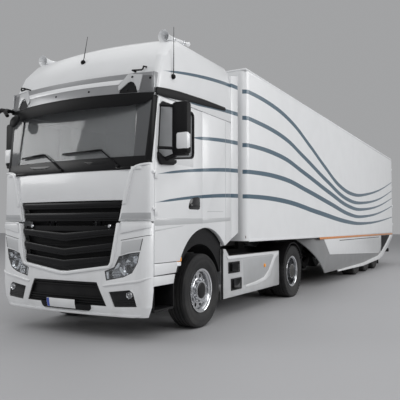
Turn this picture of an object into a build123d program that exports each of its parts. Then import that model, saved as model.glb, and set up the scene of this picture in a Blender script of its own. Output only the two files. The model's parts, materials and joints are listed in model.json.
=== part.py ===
from build123d import *
import math
import os

# Articulated lorry: a cab-over tractor with a tilting sleeper cab, hinged to a three-axle box trailer.
# Millimetres, +Z up, front towards -Y, the vehicle's left side towards +X. Stations run rearwards from
# the front axle, and the origin is on the ground at the middle of the overall length.

# Overall layout
front_overhang = 1420
wheelbase = 3700
kingpin_lead = 700
cab_gap = 500
trailer_length = 13600
cab_width = 2490
trailer_width = 2550
trailer_top = 4000
trailer_bottom = 1155
seat_gap = 0.3
shut_gap = 6

# Tyres and wheels
tyre_radius = 507
tyre_width = 312
twin_spacing = 345
trailer_tyre_radius = 536
trailer_tyre_width = 385
trailer_tyre_inset = 90
trailer_axle_spacing = 1310
trailer_tail = 3040
rim_radius = 286
rim_wall = 14
rim_lip = 16
bead_share = 0.36
disc_thick = 18
disc_offset = 60
hand_holes = 10
hand_hole_radius = 26
hand_hole_circle = 205
hub_radius = 140
hub_reach = 130
hub_cover = 15
spindle_radius = 45
spindle_clearance = 0.1

# Tractor frame and running gear
rail_half_width = 430
rail_height = 270
rail_top = 970
rail_flange = 80
rail_plate = 12
frame_front = -1130
frame_tail = 850
steer_pin_x = 900
steer_pin_radius = 22
steer_arm = 260
tow_x = 385
tow_z = 590
tow_mouth = -1360
tow_radius = 19
tow_depth = 120
fifth_wheel_top = 1150
fifth_wheel_plate = 40
kingpin_radius = 25.4
kingpin_clearance = 0.05

# Cab
cab_floor_z = 1390
cab_floor_thick = 45
cab_back = 900
cab_wall = 55
nose_wall = 45
door_front = -1200
door_top_front = -1120
door_rear = -30
door_bottom = 950
belt_z = 2080
header_z = 3000
hinge_proud = 10
hinge_pin_radius = 5
hinge_barrel_radius = 9
hinge_half = 30
hinge_heights = (1560, 2000)
arch_station = 78
arch_z = 588
arch_radius = 785
tilt_station = -1235
tilt_z = 1530
tilt_pin_radius = 20
cab_seam_z = 1455
bumper_top = 1432
bumper_wall = 40
bumper_rear = -1212
deflector_rear = 1150
glass_thick = 8
mirror_x = 1470
mirror_station = -950
horn_x = 1080
horn_station = -700
horn_z = 3885
horn_slope = 7
firewall_station = -1165
firewall_thick = 40

# Trailer body
box_wall = 30
box_roof = 40
box_floor_top = 1240
box_floor_thick = 40
portal_depth = 85
leaf_thick = 45
rear_pin_radius = 5
rear_barrel_radius = 8
rear_pin_back = 12
rear_pin_inset = 2
rear_hinge_heights = (1500, 2200, 2900, 3600)
skirt_thick = 25
skirt_bottom = 300

box_front = cab_back + cab_gap
box_rear = box_front + trailer_length
overall_length = front_overhang + box_rear
front_axle_y = front_overhang - overall_length / 2
kingpin_station = wheelbase - kingpin_lead
frame_rear = wheelbase + frame_tail
cross_members = (1350, 2250, wheelbase + 500, frame_rear - 60)
trailer_axle_stations = [box_rear - trailer_tail - count * trailer_axle_spacing for count in (2, 1, 0)]
cab_half = cab_width / 2
cab_inner = cab_half - cab_wall
box_half = trailer_width / 2
box_inner = box_half - box_wall
leaf_rear = box_rear - rear_pin_back - rear_barrel_radius
leaf_front = leaf_rear - leaf_thick
portal_rear = leaf_front - seat_gap
beam_end = portal_rear - portal_depth - seat_gap
front_wheel_x = cab_half - tyre_width / 2
inner_twin_x = front_wheel_x - twin_spacing
trailer_wheel_x = box_half - trailer_tyre_inset - trailer_tyre_width / 2
rail_bottom = rail_top - rail_height
hinge_x = cab_half + hinge_proud
hinge_station = door_front - shut_gap / 2

# Plan sections of the nose, lowest first: z, half width, front station, sweep-back at the side, corner
bumper_sections = (
    (305, cab_half - 60, -1375, 110, 120),
    (430, cab_half - 20, -1408, 110, 115),
    (620, cab_half, -front_overhang, 110, 110),
    (bumper_top, cab_half, -front_overhang, 110, 110),
)
cab_sections = (
    (cab_seam_z, cab_half, -1380, 110, 80),
    (belt_z, cab_half, -1372, 105, 80),
    (header_z, cab_half, -1230, 60, 60),
)
roof_sections = (
    (header_z + shut_gap, cab_half, -1229, 60, 60),
    (3300, cab_half - 3, -1205, 85, 80),
    (3550, cab_half - 15, -1120, 110, 110),
    (3760, cab_half - 50, -960, 140, 140),
    (3870, cab_half - 115, -760, 160, 160),
    (3925, cab_half - 245, -520, 170, 170),
)
visor_sections = (
    (3025, cab_half - 20, -1415, 230, 60),
    (3290, cab_half - 20, -1300, 140, 60),
)

# Outlines on the front, x and z, for the left half
grille_outline = ((815, bumper_top + 10), (725, 960), (695, 920), (60, 832))
intake_outline = ((530, 710), (665, 425))
fog_outline = ((700, 600), (1030, 640), (1120, 440), (770, 420))
lamp_outline = ((667, 735), (908, 785), (1024, 837), (1097, 959), (1125, 1090), (975, 1068), (843, 1032),
                (781, 902), (644, 849))
flap_outline = ((1020, belt_z), (830, cab_seam_z - 10))
upper_grille_outline = ((872, 1712), (802, cab_seam_z - 10))
windscreen_outline = ((985, 2940), (1010, 2115))

os.makedirs("parts", exist_ok=True)


def along(station):
    """Y of a station measured rearwards from the front axle."""
    return front_axle_y + station


def cross(station):
    """Plane across the vehicle at a station, drawn in x and z, extruding forwards."""
    return Plane.XZ.offset(-along(station))


def side_points(points):
    """Station and height pairs as points of a YZ plane."""
    return [(along(station), z) for station, z in points]


def both_halves(half):
    """Closed outline from its left half, which runs from the top down."""
    return list(half) + [(-x, z) for x, z in reversed(half)]


def prism(plane, points, depth, mode=Mode.ADD, inset=0):
    """Extrude a closed outline, drawn in by an inset, into the part that is open."""
    with BuildSketch(plane) as outline:
        with BuildLine():
            Polyline(*points, close=True)
        make_face()
        if inset:
            offset(amount=-inset, kind=Kind.INTERSECTION, mode=Mode.REPLACE)
    extrude(outline.sketch, amount=depth, mode=mode)


def block(x_range, stations, z_range, mode=Mode.ADD):
    """Box between two values on each axis, in the part that is open."""
    low = Vector(min(x_range), along(min(stations)), min(z_range))
    high = Vector(max(x_range), along(max(stations)), max(z_range))
    size = high - low
    with Locations(low + size / 2):
        Box(size.X, size.Y, size.Z, mode=mode)


def rod(axis, x, station, z, radius, length, mode=Mode.ADD):
    """Cylinder centred on a point, along X, Y or Z, in the part that is open."""
    turn = {"x": (0, 90, 0), "y": (90, 0, 0), "z": (0, 0, 0)}[axis]
    with Locations(Location((x, along(station), z), turn)):
        Cylinder(radius, length, mode=mode)


def nose_section(z, half, front, sweep, corner, rear, inset):
    """Plan outline of the nose at one height, drawn in by an inset."""
    side = half - inset
    tip = along(front) + inset
    with BuildSketch(Plane.XY.offset(z)) as plan:
        with BuildLine():
            ThreePointArc((-side, tip + sweep), (0, tip), (side, tip + sweep))
            Polyline((side, tip + sweep), (side, along(rear)), (-side, along(rear)), (-side, tip + sweep))
        make_face()
        fillet(plan.vertices().sort_by(Axis.Y)[0:2], max(corner - inset, 12))
    return plan.sketch


def nose(sections, rear, inset):
    """Solid through the plan sections, drawn in by an inset."""
    with BuildPart() as body:
        loft([nose_section(*row, rear, inset) for row in sections], ruled=True)
    return body.part


def nose_shell(sections, rear, outer_inset, inner_inset):
    """Wall between two insets of the nose, open at the rear, the top and the bottom."""
    inner = nose(sections, rear, inner_inset)
    with BuildPart() as shell:
        add(nose(sections, rear, outer_inset))
        add(inner, mode=Mode.SUBTRACT)
    return shell.part


nose_rear = -1000
front_reach = 700
tank_front = cab_back + 500
tank_rear = wheelbase - 800
fairing_rear = wheelbase - 680

# Tractor frame: two channel rails, cross members, cab brackets and the arms that carry tanks and guards
with BuildPart() as chassis_frame:
    for side in (-1, 1):
        outer = side * rail_half_width
        inner = side * (rail_half_width - rail_flange)
        web = side * (rail_half_width - rail_plate)
        block((web, outer), (frame_front, frame_rear), (rail_bottom, rail_top))
        block((inner, outer), (frame_front, frame_rear), (rail_top - rail_plate, rail_top))
        block((inner, outer), (frame_front, frame_rear), (rail_bottom, rail_bottom + rail_plate))
        block((inner, outer), (frame_front, frame_front + rail_plate), (rail_bottom, rail_top))
        bracket_plane = Plane.YZ.offset(min(outer, side * (rail_half_width - 60)))
        bracket = ((frame_front, rail_top - 10), (frame_front + 50, rail_top - 10),
                   (tilt_station + 30, tilt_z), (tilt_station, tilt_z))
        prism(bracket_plane, side_points(bracket), 60)
        pin_x = side * (rail_half_width - 30)
        rod("x", pin_x, tilt_station, tilt_z, tilt_pin_radius + 12, 60)
        rod("x", pin_x, tilt_station, tilt_z, tilt_pin_radius + spindle_clearance, 60, Mode.SUBTRACT)
        block((side * (rail_half_width - 60), outer), (760, 840), (rail_top - 10, cab_floor_z - seat_gap))
        for station in (tank_front + 100, (tank_front + tank_rear) / 2, tank_rear - 150):
            block((outer, side * 530), (station - 30, station + 30), (760, 860))
        block((outer, side * 915), (-1060, -1000), (700, 760))
        block((outer, side * 575), (wheelbase - 50, wheelbase + 50), (rail_top - 60, rail_top))
    block((tow_x - 45, tow_x + 45), (frame_front, frame_front + 60), (tow_z - 45, rail_bottom + 20))
    rod("y", tow_x, (tow_mouth + frame_front + 60) / 2, tow_z, 45, frame_front + 60 - tow_mouth)
    rod("y", tow_x, tow_mouth + tow_depth / 2, tow_z, tow_radius, tow_depth, Mode.SUBTRACT)
    for station in cross_members:
        block((-rail_half_width + rail_plate, rail_half_width - rail_plate), (station - 40, station + 40),
              (rail_top - 100, rail_top - 20))
    block((-rail_half_width + rail_plate, rail_half_width - rail_plate), (frame_front, frame_front + 60),
          (rail_bottom + 20, rail_top - 20))
chassis_frame.part.label = "chassis_frame"
export_step(chassis_frame.part, "parts/chassis_frame.step")

leaf_low = 560

# Steered front axle: a dropped beam with a fixed king pin in each end eye
with BuildPart() as front_axle:
    for side in (-1, 1):
        beam_half = [(0, 400), (side * 480, 400), (side * 640, 470), (side * steer_pin_x, 470),
                     (side * steer_pin_x, 560), (side * 600, 560), (side * 440, 500), (0, 500)]
        prism(cross(55), beam_half, 110)
        block((side * 350, side * 430), (-60, 60), (490, leaf_low - seat_gap))
        rod("z", side * steer_pin_x, 0, tyre_radius, 55, 150)
        rod("z", side * steer_pin_x, 0, tyre_radius, steer_pin_radius, 270)
front_axle.part.label = "front_axle"
export_step(front_axle.part, "parts/front_axle.step")

# Steering knuckles: a yoke round the axle's end eye, the wheel spindle and the steering arm
for side, name in ((-1, "knuckle_right"), (1, "knuckle_left")):
    with BuildPart() as knuckle:
        for low, high in ((585, 645), (369, 429)):
            rod("z", side * steer_pin_x, 0, (low + high) / 2, 55, high - low)
            block((side * steer_pin_x, side * 1000), (-50, 50), (low, high))
        block((side * 962, side * 1000), (-90, 90), (369, 645))
        rod("x", side * (1000 + front_wheel_x + hub_reach - hub_cover) / 2, 0, tyre_radius, spindle_radius,
            front_wheel_x + hub_reach - hub_cover - 1000)
        block((side * (steer_pin_x - 22), side * (steer_pin_x + 22)), (0, steer_arm), (369, 400))
        rod("z", side * steer_pin_x, steer_arm, 384.5, 30, 31)
        rod("z", side * steer_pin_x, 0, tyre_radius, steer_pin_radius + spindle_clearance, 400, Mode.SUBTRACT)
        rod("z", side * steer_pin_x, steer_arm, 350, 12, 60)
    knuckle.part.label = name
    export_step(knuckle.part, f"parts/{name}.step")

# Tie rod: hangs below the two steering arms on their ball pins
tie_z = 342
with BuildPart() as tie_rod:
    rod("x", 0, steer_arm, tie_z, 18, 2 * steer_pin_x)
    for side in (-1, 1):
        rod("z", side * steer_pin_x, steer_arm, tie_z, 28, 44)
    for side in (-1, 1):
        rod("z", side * steer_pin_x, steer_arm, tie_z, 12 + spindle_clearance, 60, Mode.SUBTRACT)
tie_rod.part.label = "tie_rod"
export_step(tie_rod.part, "parts/tie_rod.step")

# Engine and gearbox, one heavy block between the rails
engine_front, engine_rear, gearbox_rear, shaft_z = -900, 350, 1180, 790
with BuildPart() as engine_block:
    prism(Plane.YZ.offset(-310), side_points(((engine_front, 760), (engine_front + 200, 620), (engine_rear, 620),
          (engine_rear, 1330), (engine_front, 1330))), 620)
    rod("y", 0, (engine_rear + gearbox_rear) / 2, shaft_z, 210, gearbox_rear - engine_rear)
    for side in (-1, 1):
        block((side * 300, side * (rail_half_width - rail_plate)), (-500, -380), (800, 900))
        block((side * 180, side * (rail_half_width - rail_plate)), (800, 900), (770, 850))
engine_block.part.label = "engine_block"
export_step(engine_block.part, "parts/engine_block.step")

# Drive axle: banjo housing, differential, wheel spindles and the propeller shaft from the gearbox
drive_spindle_end = front_wheel_x + hub_reach - hub_cover
shaft_start = Vector(0, along(gearbox_rear), shaft_z)
shaft_end = Vector(0, along(wheelbase - 330), tyre_radius)
with BuildPart() as drive_axle:
    with BuildSketch(Plane(shaft_start, z_dir=shaft_end - shaft_start)) as shaft_circle:
        Circle(55)
    extrude(amount=(shaft_end - shaft_start).length)
    block((-200, 200), (gearbox_rear - 200, gearbox_rear + seat_gap), (600, 1000), Mode.SUBTRACT)
    rod("x", 0, wheelbase, tyre_radius, 75, 2 * 560)
    rod("x", 0, wheelbase, tyre_radius, spindle_radius, 2 * drive_spindle_end)
    rod("x", 0, wheelbase, tyre_radius, 215, 260)
    rod("y", 0, wheelbase - 260, tyre_radius, 110, 160)
    for side in (-1, 1):
        block((side * 385, side * 475), (wheelbase - 90, wheelbase + 90), (430, 600))
drive_axle.part.label = "drive_axle"
export_step(drive_axle.part, "parts/drive_axle.step")

# Springs: front leaf packs, and rear bellows on trailing beams
with BuildPart() as springs:
    for side in (-1, 1):
        with BuildSketch(Plane.YZ.offset(side * 390 - 40)):
            with BuildLine():
                ThreePointArc((along(-640), rail_bottom), (along(0), leaf_low), (along(640), rail_bottom))
                Line((along(640), rail_bottom), (along(560), rail_bottom))
                ThreePointArc((along(560), rail_bottom), (along(0), leaf_low + 40), (along(-560), rail_bottom))
                Line((along(-560), rail_bottom), (along(-640), rail_bottom))
            make_face()
        extrude(amount=80)
        block((side * 385, side * 475), (wheelbase - 500, wheelbase + 500), (385, 430))
        for station in (wheelbase - 400, wheelbase + 400):
            rod("z", side * 460, station, (430 + rail_bottom) / 2, 110, rail_bottom - 430)
springs.part.label = "springs"
export_step(springs.part, "parts/springs.step")

# Fuel tanks, one on each side
with BuildPart() as fuel_tanks:
    for side in (-1, 1):
        with BuildSketch(cross(tank_rear)):
            with Locations((side * 840, 665)):
                RectangleRounded(620, 470, 90)
        extrude(amount=tank_rear - tank_front)
fuel_tanks.part.label = "fuel_tanks"
export_step(fuel_tanks.part, "parts/fuel_tanks.step")

# Side fairings between the axles, with two step recesses each
fairing_outline = ((660, 300), (fairing_rear, 300), (fairing_rear, 940), (900, 940), (780, 1050), (660, 1050))
with BuildPart() as side_fairings:
    for side in (-1, 1):
        prism(Plane.YZ.offset(side * 1190 - 15), side_points(fairing_outline), 30)
        for start, end, low, high in ((870, 1270, 670, 840), (960, 1340, 400, 580)):
            block((side * 1170, side * 1210), (start, end), (low, high), Mode.SUBTRACT)
            block((side * 1060, side * 1190), (start - 20, end + 20), (low - 30, low))
            block((side * 1060, side * 1075), (start - 20, end + 20), (low - 30, high))
        for station in (tank_front + 100, (tank_front + tank_rear) / 2, tank_rear - 100):
            block((side * 1150, side * 1180), (station - 60, station + 60), (600, 700))
side_fairings.part.label = "side_fairings"
export_step(side_fairings.part, "parts/side_fairings.step")

# Entry steps under the doors: cheek panel, two treads and their end plates
with BuildPart() as entry_steps:
    for side in (-1, 1):
        block((side * 1195, side * 1235), (bumper_rear + 22, -690), (670, door_bottom - 15))
        block((side * 915, side * 1235), (bumper_rear + 22, -690), (670, 700))
        block((side * 960, side * 1225), (bumper_rear + 42, -720), (360, 390))
        for station in (bumper_rear + 42, -740):
            block((side * 960, side * 1225), (station, station + 20), (360, 690))
        block((side * 915, side * 1180), (bumper_rear + 22, -690), (door_bottom - 60, door_bottom - 30))
        block((side * 915, side * 945), (bumper_rear + 22, -690), (670, door_bottom - 30))
entry_steps.part.label = "entry_steps"
export_step(entry_steps.part, "parts/entry_steps.step")

# Front wheel arch liners with their face flanges, and rear guards over the twins, on arms from the rails
liner_radius = 640
guard_radius = 555
with BuildPart() as front_liners:
    for side in (-1, 1):
        rod("x", side * 1020, 0, tyre_radius, liner_radius + 20, 320)
        rod("x", side * 1170, arch_station, arch_z, arch_radius + 6, 20)
        rod("x", side * 1020, 0, tyre_radius, liner_radius, 400, Mode.SUBTRACT)
        block((side * 800, side * 1300), (-900, 0), (-400, 800), Mode.SUBTRACT)
        block((side * 800, side * 1300), (0, 1000), (-400, 720), Mode.SUBTRACT)
        block((side * 800, side * 1300), (650, 1000), (0, 1500), Mode.SUBTRACT)
        block((side * 395, side * 870), (-40, 40), (tyre_radius + liner_radius, tyre_radius + liner_radius + 18))
        block((side * 395, side * 430), (-40, 40), (rail_top, tyre_radius + liner_radius + 18))
with BuildPart() as rear_guards:
    for side in (-1, 1):
        rod("x", side * 915, wheelbase, tyre_radius, guard_radius + 15, 660)
        rod("x", side * 915, wheelbase, tyre_radius, guard_radius, 700, Mode.SUBTRACT)
        block((side * 500, side * 1300), (wheelbase - 700, wheelbase + 700), (-400, 700), Mode.SUBTRACT)
        block((side * 540, side * 590), (wheelbase - 50, wheelbase + 50), (rail_top, tyre_radius + guard_radius + 8))
with BuildPart() as mudguards:
    add(front_liners.part)
    add(rear_guards.part)
mudguards.part.label = "mudguards"
export_step(mudguards.part, "parts/mudguards.step")

# Fifth wheel: coupling plate with its throat open to the rear, on two pedestals
with BuildPart() as fifth_wheel:
    with BuildSketch(Plane.XY.offset(fifth_wheel_top - fifth_wheel_plate)):
        with Locations((0, along(kingpin_station + 60))):
            RectangleRounded(880, 780, 200)
    extrude(amount=fifth_wheel_plate)
    for side in (-1, 1):
        block((side * 350, side * rail_half_width), (kingpin_station - 130, kingpin_station + 130),
              (rail_top, fifth_wheel_top - fifth_wheel_plate))
    throat = kingpin_radius + kingpin_clearance
    prism(Plane.XY.offset(rail_top), [(throat, along(kingpin_station)), (throat, along(kingpin_station + 120)),
          (190, along(kingpin_station + 460)), (-190, along(kingpin_station + 460)),
          (-throat, along(kingpin_station + 120)), (-throat, along(kingpin_station))],
          fifth_wheel_top - rail_top, Mode.SUBTRACT)
    rod("z", 0, kingpin_station, fifth_wheel_top, throat, 200, Mode.SUBTRACT)
fifth_wheel.part.label = "fifth_wheel"
export_step(fifth_wheel.part, "parts/fifth_wheel.step")

# Bumper with the openings for the grille, the lamps, the fog lamps and the intake
bumper_shell = nose_shell(bumper_sections, nose_rear, 0, bumper_wall)
with BuildPart() as bumper:
    add(bumper_shell)
    block((-1300, 1300), (bumper_rear, 0), (200, 1500), Mode.SUBTRACT)
    prism(cross(-front_reach), both_halves(grille_outline), 900, Mode.SUBTRACT)
    prism(cross(-front_reach), both_halves(intake_outline), 900, Mode.SUBTRACT)
    for side in (-1, 1):
        prism(cross(-front_reach), [(side * x, z) for x, z in fog_outline], 900, Mode.SUBTRACT)
        prism(cross(-front_reach), [(side * x, z) for x, z in lamp_outline], 900, Mode.SUBTRACT)
        block((side * 360, side * 420), (-1390, frame_front - seat_gap), (735, 795))
bumper.part.label = "bumper"
export_step(bumper.part, "parts/bumper.step")

# Black intake and fog lamp inserts in the bumper
insert_shell = nose_shell(bumper_sections, nose_rear, 14, bumper_wall - 4)
with BuildPart() as intake_insert:
    add(insert_shell)
    prism(cross(-front_reach), both_halves(intake_outline), 900, Mode.INTERSECT, seat_gap)
    rod("y", tow_x, tow_mouth, tow_z, 55, 400, Mode.SUBTRACT)
with BuildPart() as fog_insert:
    add(insert_shell)
    prism(cross(-front_reach), fog_outline, 900, Mode.INTERSECT, seat_gap)

# Lower grille: a V-bottomed panel whose bars drop to the middle. Rows: half width of the slot between two bars,
# its lower and upper edge at the middle, its lower and upper edge at the ends
grille_slots = (
    (770, 1314, 1395, 1372, 1405),
    (745, 1118, 1197, 1202, 1277),
    (700, 975, 1015, 1041, 1094),
)
with BuildPart() as grille_panel:
    add(nose_shell(bumper_sections, nose_rear, 4, bumper_wall - 2))
    prism(cross(-front_reach), both_halves(grille_outline), 900, Mode.INTERSECT, seat_gap)
    block((-1300, 1300), (-1500, -1000), (bumper_top, bumper_top + 100), Mode.SUBTRACT)
    for half, low, high, end_low, end_high in grille_slots:
        chevron = ((-half, end_low), (0, low), (half, end_low), (half, end_high), (0, high), (-half, end_high))
        prism(cross(-front_reach), chevron, 900, Mode.SUBTRACT)
with BuildPart() as lower_grille:
    add(grille_panel.part)
    add(intake_insert.part)
    add(fog_insert.part)
    mirror(fog_insert.part, about=Plane.YZ)
lower_grille.part.label = "lower_grille"
export_step(lower_grille.part, "parts/lower_grille.step")

# Headlamps, wrapped round the bumper's corners
with BuildPart() as lamp_left:
    add(nose_shell(bumper_sections, nose_rear, 4, 64))
    prism(cross(-front_reach), lamp_outline, 900, Mode.INTERSECT, seat_gap)
    block((0, 1300), (bumper_rear - 12, 0), (200, 1500), Mode.SUBTRACT)
with BuildPart() as headlamps:
    add(lamp_left.part)
    mirror(lamp_left.part, about=Plane.YZ)
headlamps.part.label = "headlamps"
export_step(headlamps.part, "parts/headlamps.step")

# Cab front: pillars, scuttle and header round the windscreen and flap openings, with the fire wall behind
firewall_rear = firewall_station + firewall_thick
with BuildPart() as cab_front:
    add(nose_shell(cab_sections, nose_rear, 0, nose_wall))
    prism(Plane.YZ.offset(-1300), side_points(((door_front - shut_gap, cab_seam_z - 50),
          (door_front - shut_gap, belt_z), (door_top_front - shut_gap, header_z), (door_top_front, header_z + 50),
          (0, header_z + 50), (0, cab_seam_z - 50))), 2600, Mode.SUBTRACT)
    prism(cross(-front_reach), both_halves(windscreen_outline), 900, Mode.SUBTRACT)
    prism(cross(-front_reach), both_halves(flap_outline), 900, Mode.SUBTRACT)
    block((-1184, 1184), (firewall_station, firewall_rear), (cab_floor_z, belt_z))
    block((-1130, 1130), (-1330, firewall_rear), (belt_z, belt_z + 35))
    for side in (-1, 1):
        block((side * 1130, side * 1184), (-1255, firewall_rear), (cab_seam_z, belt_z + 35))
        ear_x = side * (rail_half_width + 25)
        block((ear_x - 20, ear_x + 20), (tilt_station, firewall_station + 5), (tilt_z - 30, tilt_z + 30))
        rod("x", ear_x, tilt_station, tilt_z, 30, 40)
        rod("x", side * (rail_half_width - 5), tilt_station, tilt_z, tilt_pin_radius, 110)
        for z in hinge_heights:
            high = (z + hinge_half + 1, z + 2 * hinge_half)
            rod("z", side * hinge_x, hinge_station, sum(high) / 2, hinge_barrel_radius, high[1] - high[0])
            rod("z", side * hinge_x, hinge_station, z + hinge_half / 2, hinge_pin_radius, 3 * hinge_half)
            block((side * (cab_half + 1), side * (hinge_x + 4)), (hinge_station - 42, hinge_station), high)
            block((side * (cab_half - 30), side * hinge_x), (hinge_station - 42, hinge_station - 15), high)
cab_front.part.label = "cab_front"
export_step(cab_front.part, "parts/cab_front.step")

# Windscreen
with BuildPart() as windscreen:
    add(nose_shell(cab_sections, nose_rear, 12, 12 + glass_thick))
    prism(cross(-front_reach), both_halves(windscreen_outline), 900, Mode.INTERSECT, seat_gap)
windscreen.part.label = "windscreen"
export_step(windscreen.part, "parts/windscreen.step")

# Front flap and the upper grille set into it
with BuildPart() as front_flap:
    add(nose_shell(cab_sections, nose_rear, 0, 35))
    prism(cross(-front_reach), both_halves(flap_outline), 900, Mode.INTERSECT, seat_gap)
    prism(cross(-front_reach), both_halves(upper_grille_outline), 900, Mode.SUBTRACT)
front_flap.part.label = "front_flap"
export_step(front_flap.part, "parts/front_flap.step")

with BuildPart() as upper_grille:
    add(nose_shell(cab_sections, nose_rear, 4, 33))
    prism(cross(-front_reach), both_halves(upper_grille_outline), 900, Mode.INTERSECT, seat_gap)
    for z, half in ((1645, 825), (1545, 795)):
        block((-half, half), (-1500, -1200), (z - 28, z + 28), Mode.SUBTRACT)
upper_grille.part.label = "upper_grille"
export_step(upper_grille.part, "parts/upper_grille.step")

# Wipers: blades and arms lying on the windscreen
wiper_strips = (((-880, 2160), (-190, 2215), 24), ((-560, 2098), (-500, 2180), 16),
                ((-60, 2160), (640, 2215), 24), ((300, 2098), (330, 2180), 16))
with BuildPart() as wipers:
    add(nose_shell(cab_sections, nose_rear, -20, -seat_gap))
    with BuildSketch(cross(-front_reach)) as strips:
        for start, end, width in wiper_strips:
            with BuildLine() as strip:
                Line(start, end)
            trace(strip.line, line_width=width)
    extrude(strips.sketch, amount=900, mode=Mode.INTERSECT)
wipers.part.label = "wipers"
export_step(wipers.part, "parts/wipers.step")

# Cab floor, back wall and side walls
floor_top = cab_floor_z + cab_floor_thick
with BuildPart() as cab_floor:
    block((-1184, 1184), (firewall_rear, cab_back - cab_wall), (cab_floor_z, floor_top))
cab_floor.part.label = "cab_floor"
export_step(cab_floor.part, "parts/cab_floor.step")

with BuildPart() as cab_rear_wall:
    block((-cab_inner, cab_inner), (cab_back - cab_wall, cab_back), (cab_floor_z, header_z))
cab_rear_wall.part.label = "cab_rear_wall"
export_step(cab_rear_wall.part, "parts/cab_rear_wall.step")

side_outline = ((door_rear + shut_gap, header_z), (cab_back, header_z), (cab_back, 1195), (690, 1105),
                (door_rear + shut_gap, 1105))
with BuildPart() as cab_sides:
    for side in (-1, 1):
        prism(Plane.YZ.offset(min(side * cab_half, side * cab_inner)), side_points(side_outline), cab_wall)
        rod("x", side * cab_half, arch_station, arch_z, arch_radius, 4 * cab_wall, Mode.SUBTRACT)
cab_sides.part.label = "cab_sides"
export_step(cab_sides.part, "parts/cab_sides.step")

# High roof, hollow and open to the cab below
roof_wall = 50
roof_inner_sections = [roof_sections[0]] + [(z - roof_wall, half, front, sweep, corner)
                                            for z, half, front, sweep, corner in roof_sections[1:]]
roof_outer = nose(roof_sections, cab_back, 0)
with BuildPart() as cab_roof:
    add(roof_outer)
    add(nose(roof_inner_sections, cab_back - cab_wall, roof_wall), mode=Mode.SUBTRACT)
cab_roof.part.label = "cab_roof"
export_step(cab_roof.part, "parts/cab_roof.step")

# Sun visor over the windscreen, cut to sit on the cab
visor_shell = nose_shell(visor_sections, nose_rear, 0, 25)
with BuildPart() as sun_visor:
    add(visor_shell)
    block((-1300, 1300), (-1130, -900), (2900, 3400), Mode.SUBTRACT)
    for x in (-700, 0, 700):
        block((x - 15, x + 15), (-1400, -1150), (3180, 3280))
    add(nose(roof_sections, cab_back, -seat_gap), mode=Mode.SUBTRACT)
    add(nose(cab_sections, cab_back, -seat_gap), mode=Mode.SUBTRACT)
sun_visor.part.label = "sun_visor"
export_step(sun_visor.part, "parts/sun_visor.step")

# Air deflectors beside and above the back of the cab
deflector_outline = ((cab_back, 1195), (deflector_rear, 1290), (deflector_rear, 3800), (cab_back, 3740))
with BuildPart() as air_deflectors:
    for side in (-1, 1):
        prism(Plane.YZ.offset(min(side * cab_half, side * (cab_half - 50))), side_points(deflector_outline), 50)
    prism(Plane.YZ.offset(-950), side_points(((100, 3925), (850, 3925), (850, 3995))), 1900)
air_deflectors.part.label = "air_deflectors"
export_step(air_deflectors.part, "parts/air_deflectors.step")

# Air horns and aerials on the roof
with BuildPart() as roof_fittings:
    for side in (-1, 1):
        with Locations(Location((side * horn_x, along(horn_station), horn_z), (90 + horn_slope, 0, 0))):
            Cone(22, 70, 160)
            with Locations((0, 0, -330)):
                Cylinder(22, 500)
        for reach in (170, 430):
            foot_top = horn_z + reach * math.tan(math.radians(horn_slope))
            block((side * horn_x - 15, side * horn_x + 15), (horn_station + reach - 15, horn_station + reach + 15),
                  (3600, foot_top))
    rod("z", 1258, -800, 3640, 5, 640)
    block((1230, 1263), (-812, -788), (3290, 3330))
    rod("z", 0, -1080, 3780, 5, 400)
    rod("z", 0, -1080, 3600, 20, 60)
    add(nose(roof_sections, cab_back, -seat_gap), mode=Mode.SUBTRACT)
roof_fittings.part.label = "roof_fittings"
export_step(roof_fittings.part, "parts/roof_fittings.step")

# Dashboard with the steering wheel, and the seats with the bunk behind them
wheel_plane = Plane((620, along(-700), 2070), x_dir=(1, 0, 0), z_dir=(0, 0.55, 0.835))
with BuildPart() as dashboard:
    prism(Plane.YZ.offset(-1120), side_points(((firewall_rear, 1760), (-860, 1800), (-760, 1960), (-800, 2060),
          (firewall_rear, 2075))), 2240)
    with Locations(wheel_plane.location):
        Torus(210, 18)
        Cylinder(60, 40)
        Box(410, 36, 20)
        with Locations((0, 0, -105)):
            Cylinder(35, 210)
dashboard.part.label = "dashboard"
export_step(dashboard.part, "parts/dashboard.step")

seat_outline = ((-420, floor_top), (60, floor_top), (60, 1760), (120, 1760), (250, 2480), (150, 2500), (20, 1860),
                (-450, 1890), (-460, 1770), (-380, 1750))
with BuildPart() as seats:
    for side in (-1, 1):
        prism(Plane.YZ.offset(side * 640 - 250), side_points(seat_outline), 500)
    block((-1150, 1150), (300, cab_back - cab_wall), (floor_top, 1900))
seats.part.label = "seats"
export_step(seats.part, "parts/seats.step")

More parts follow.
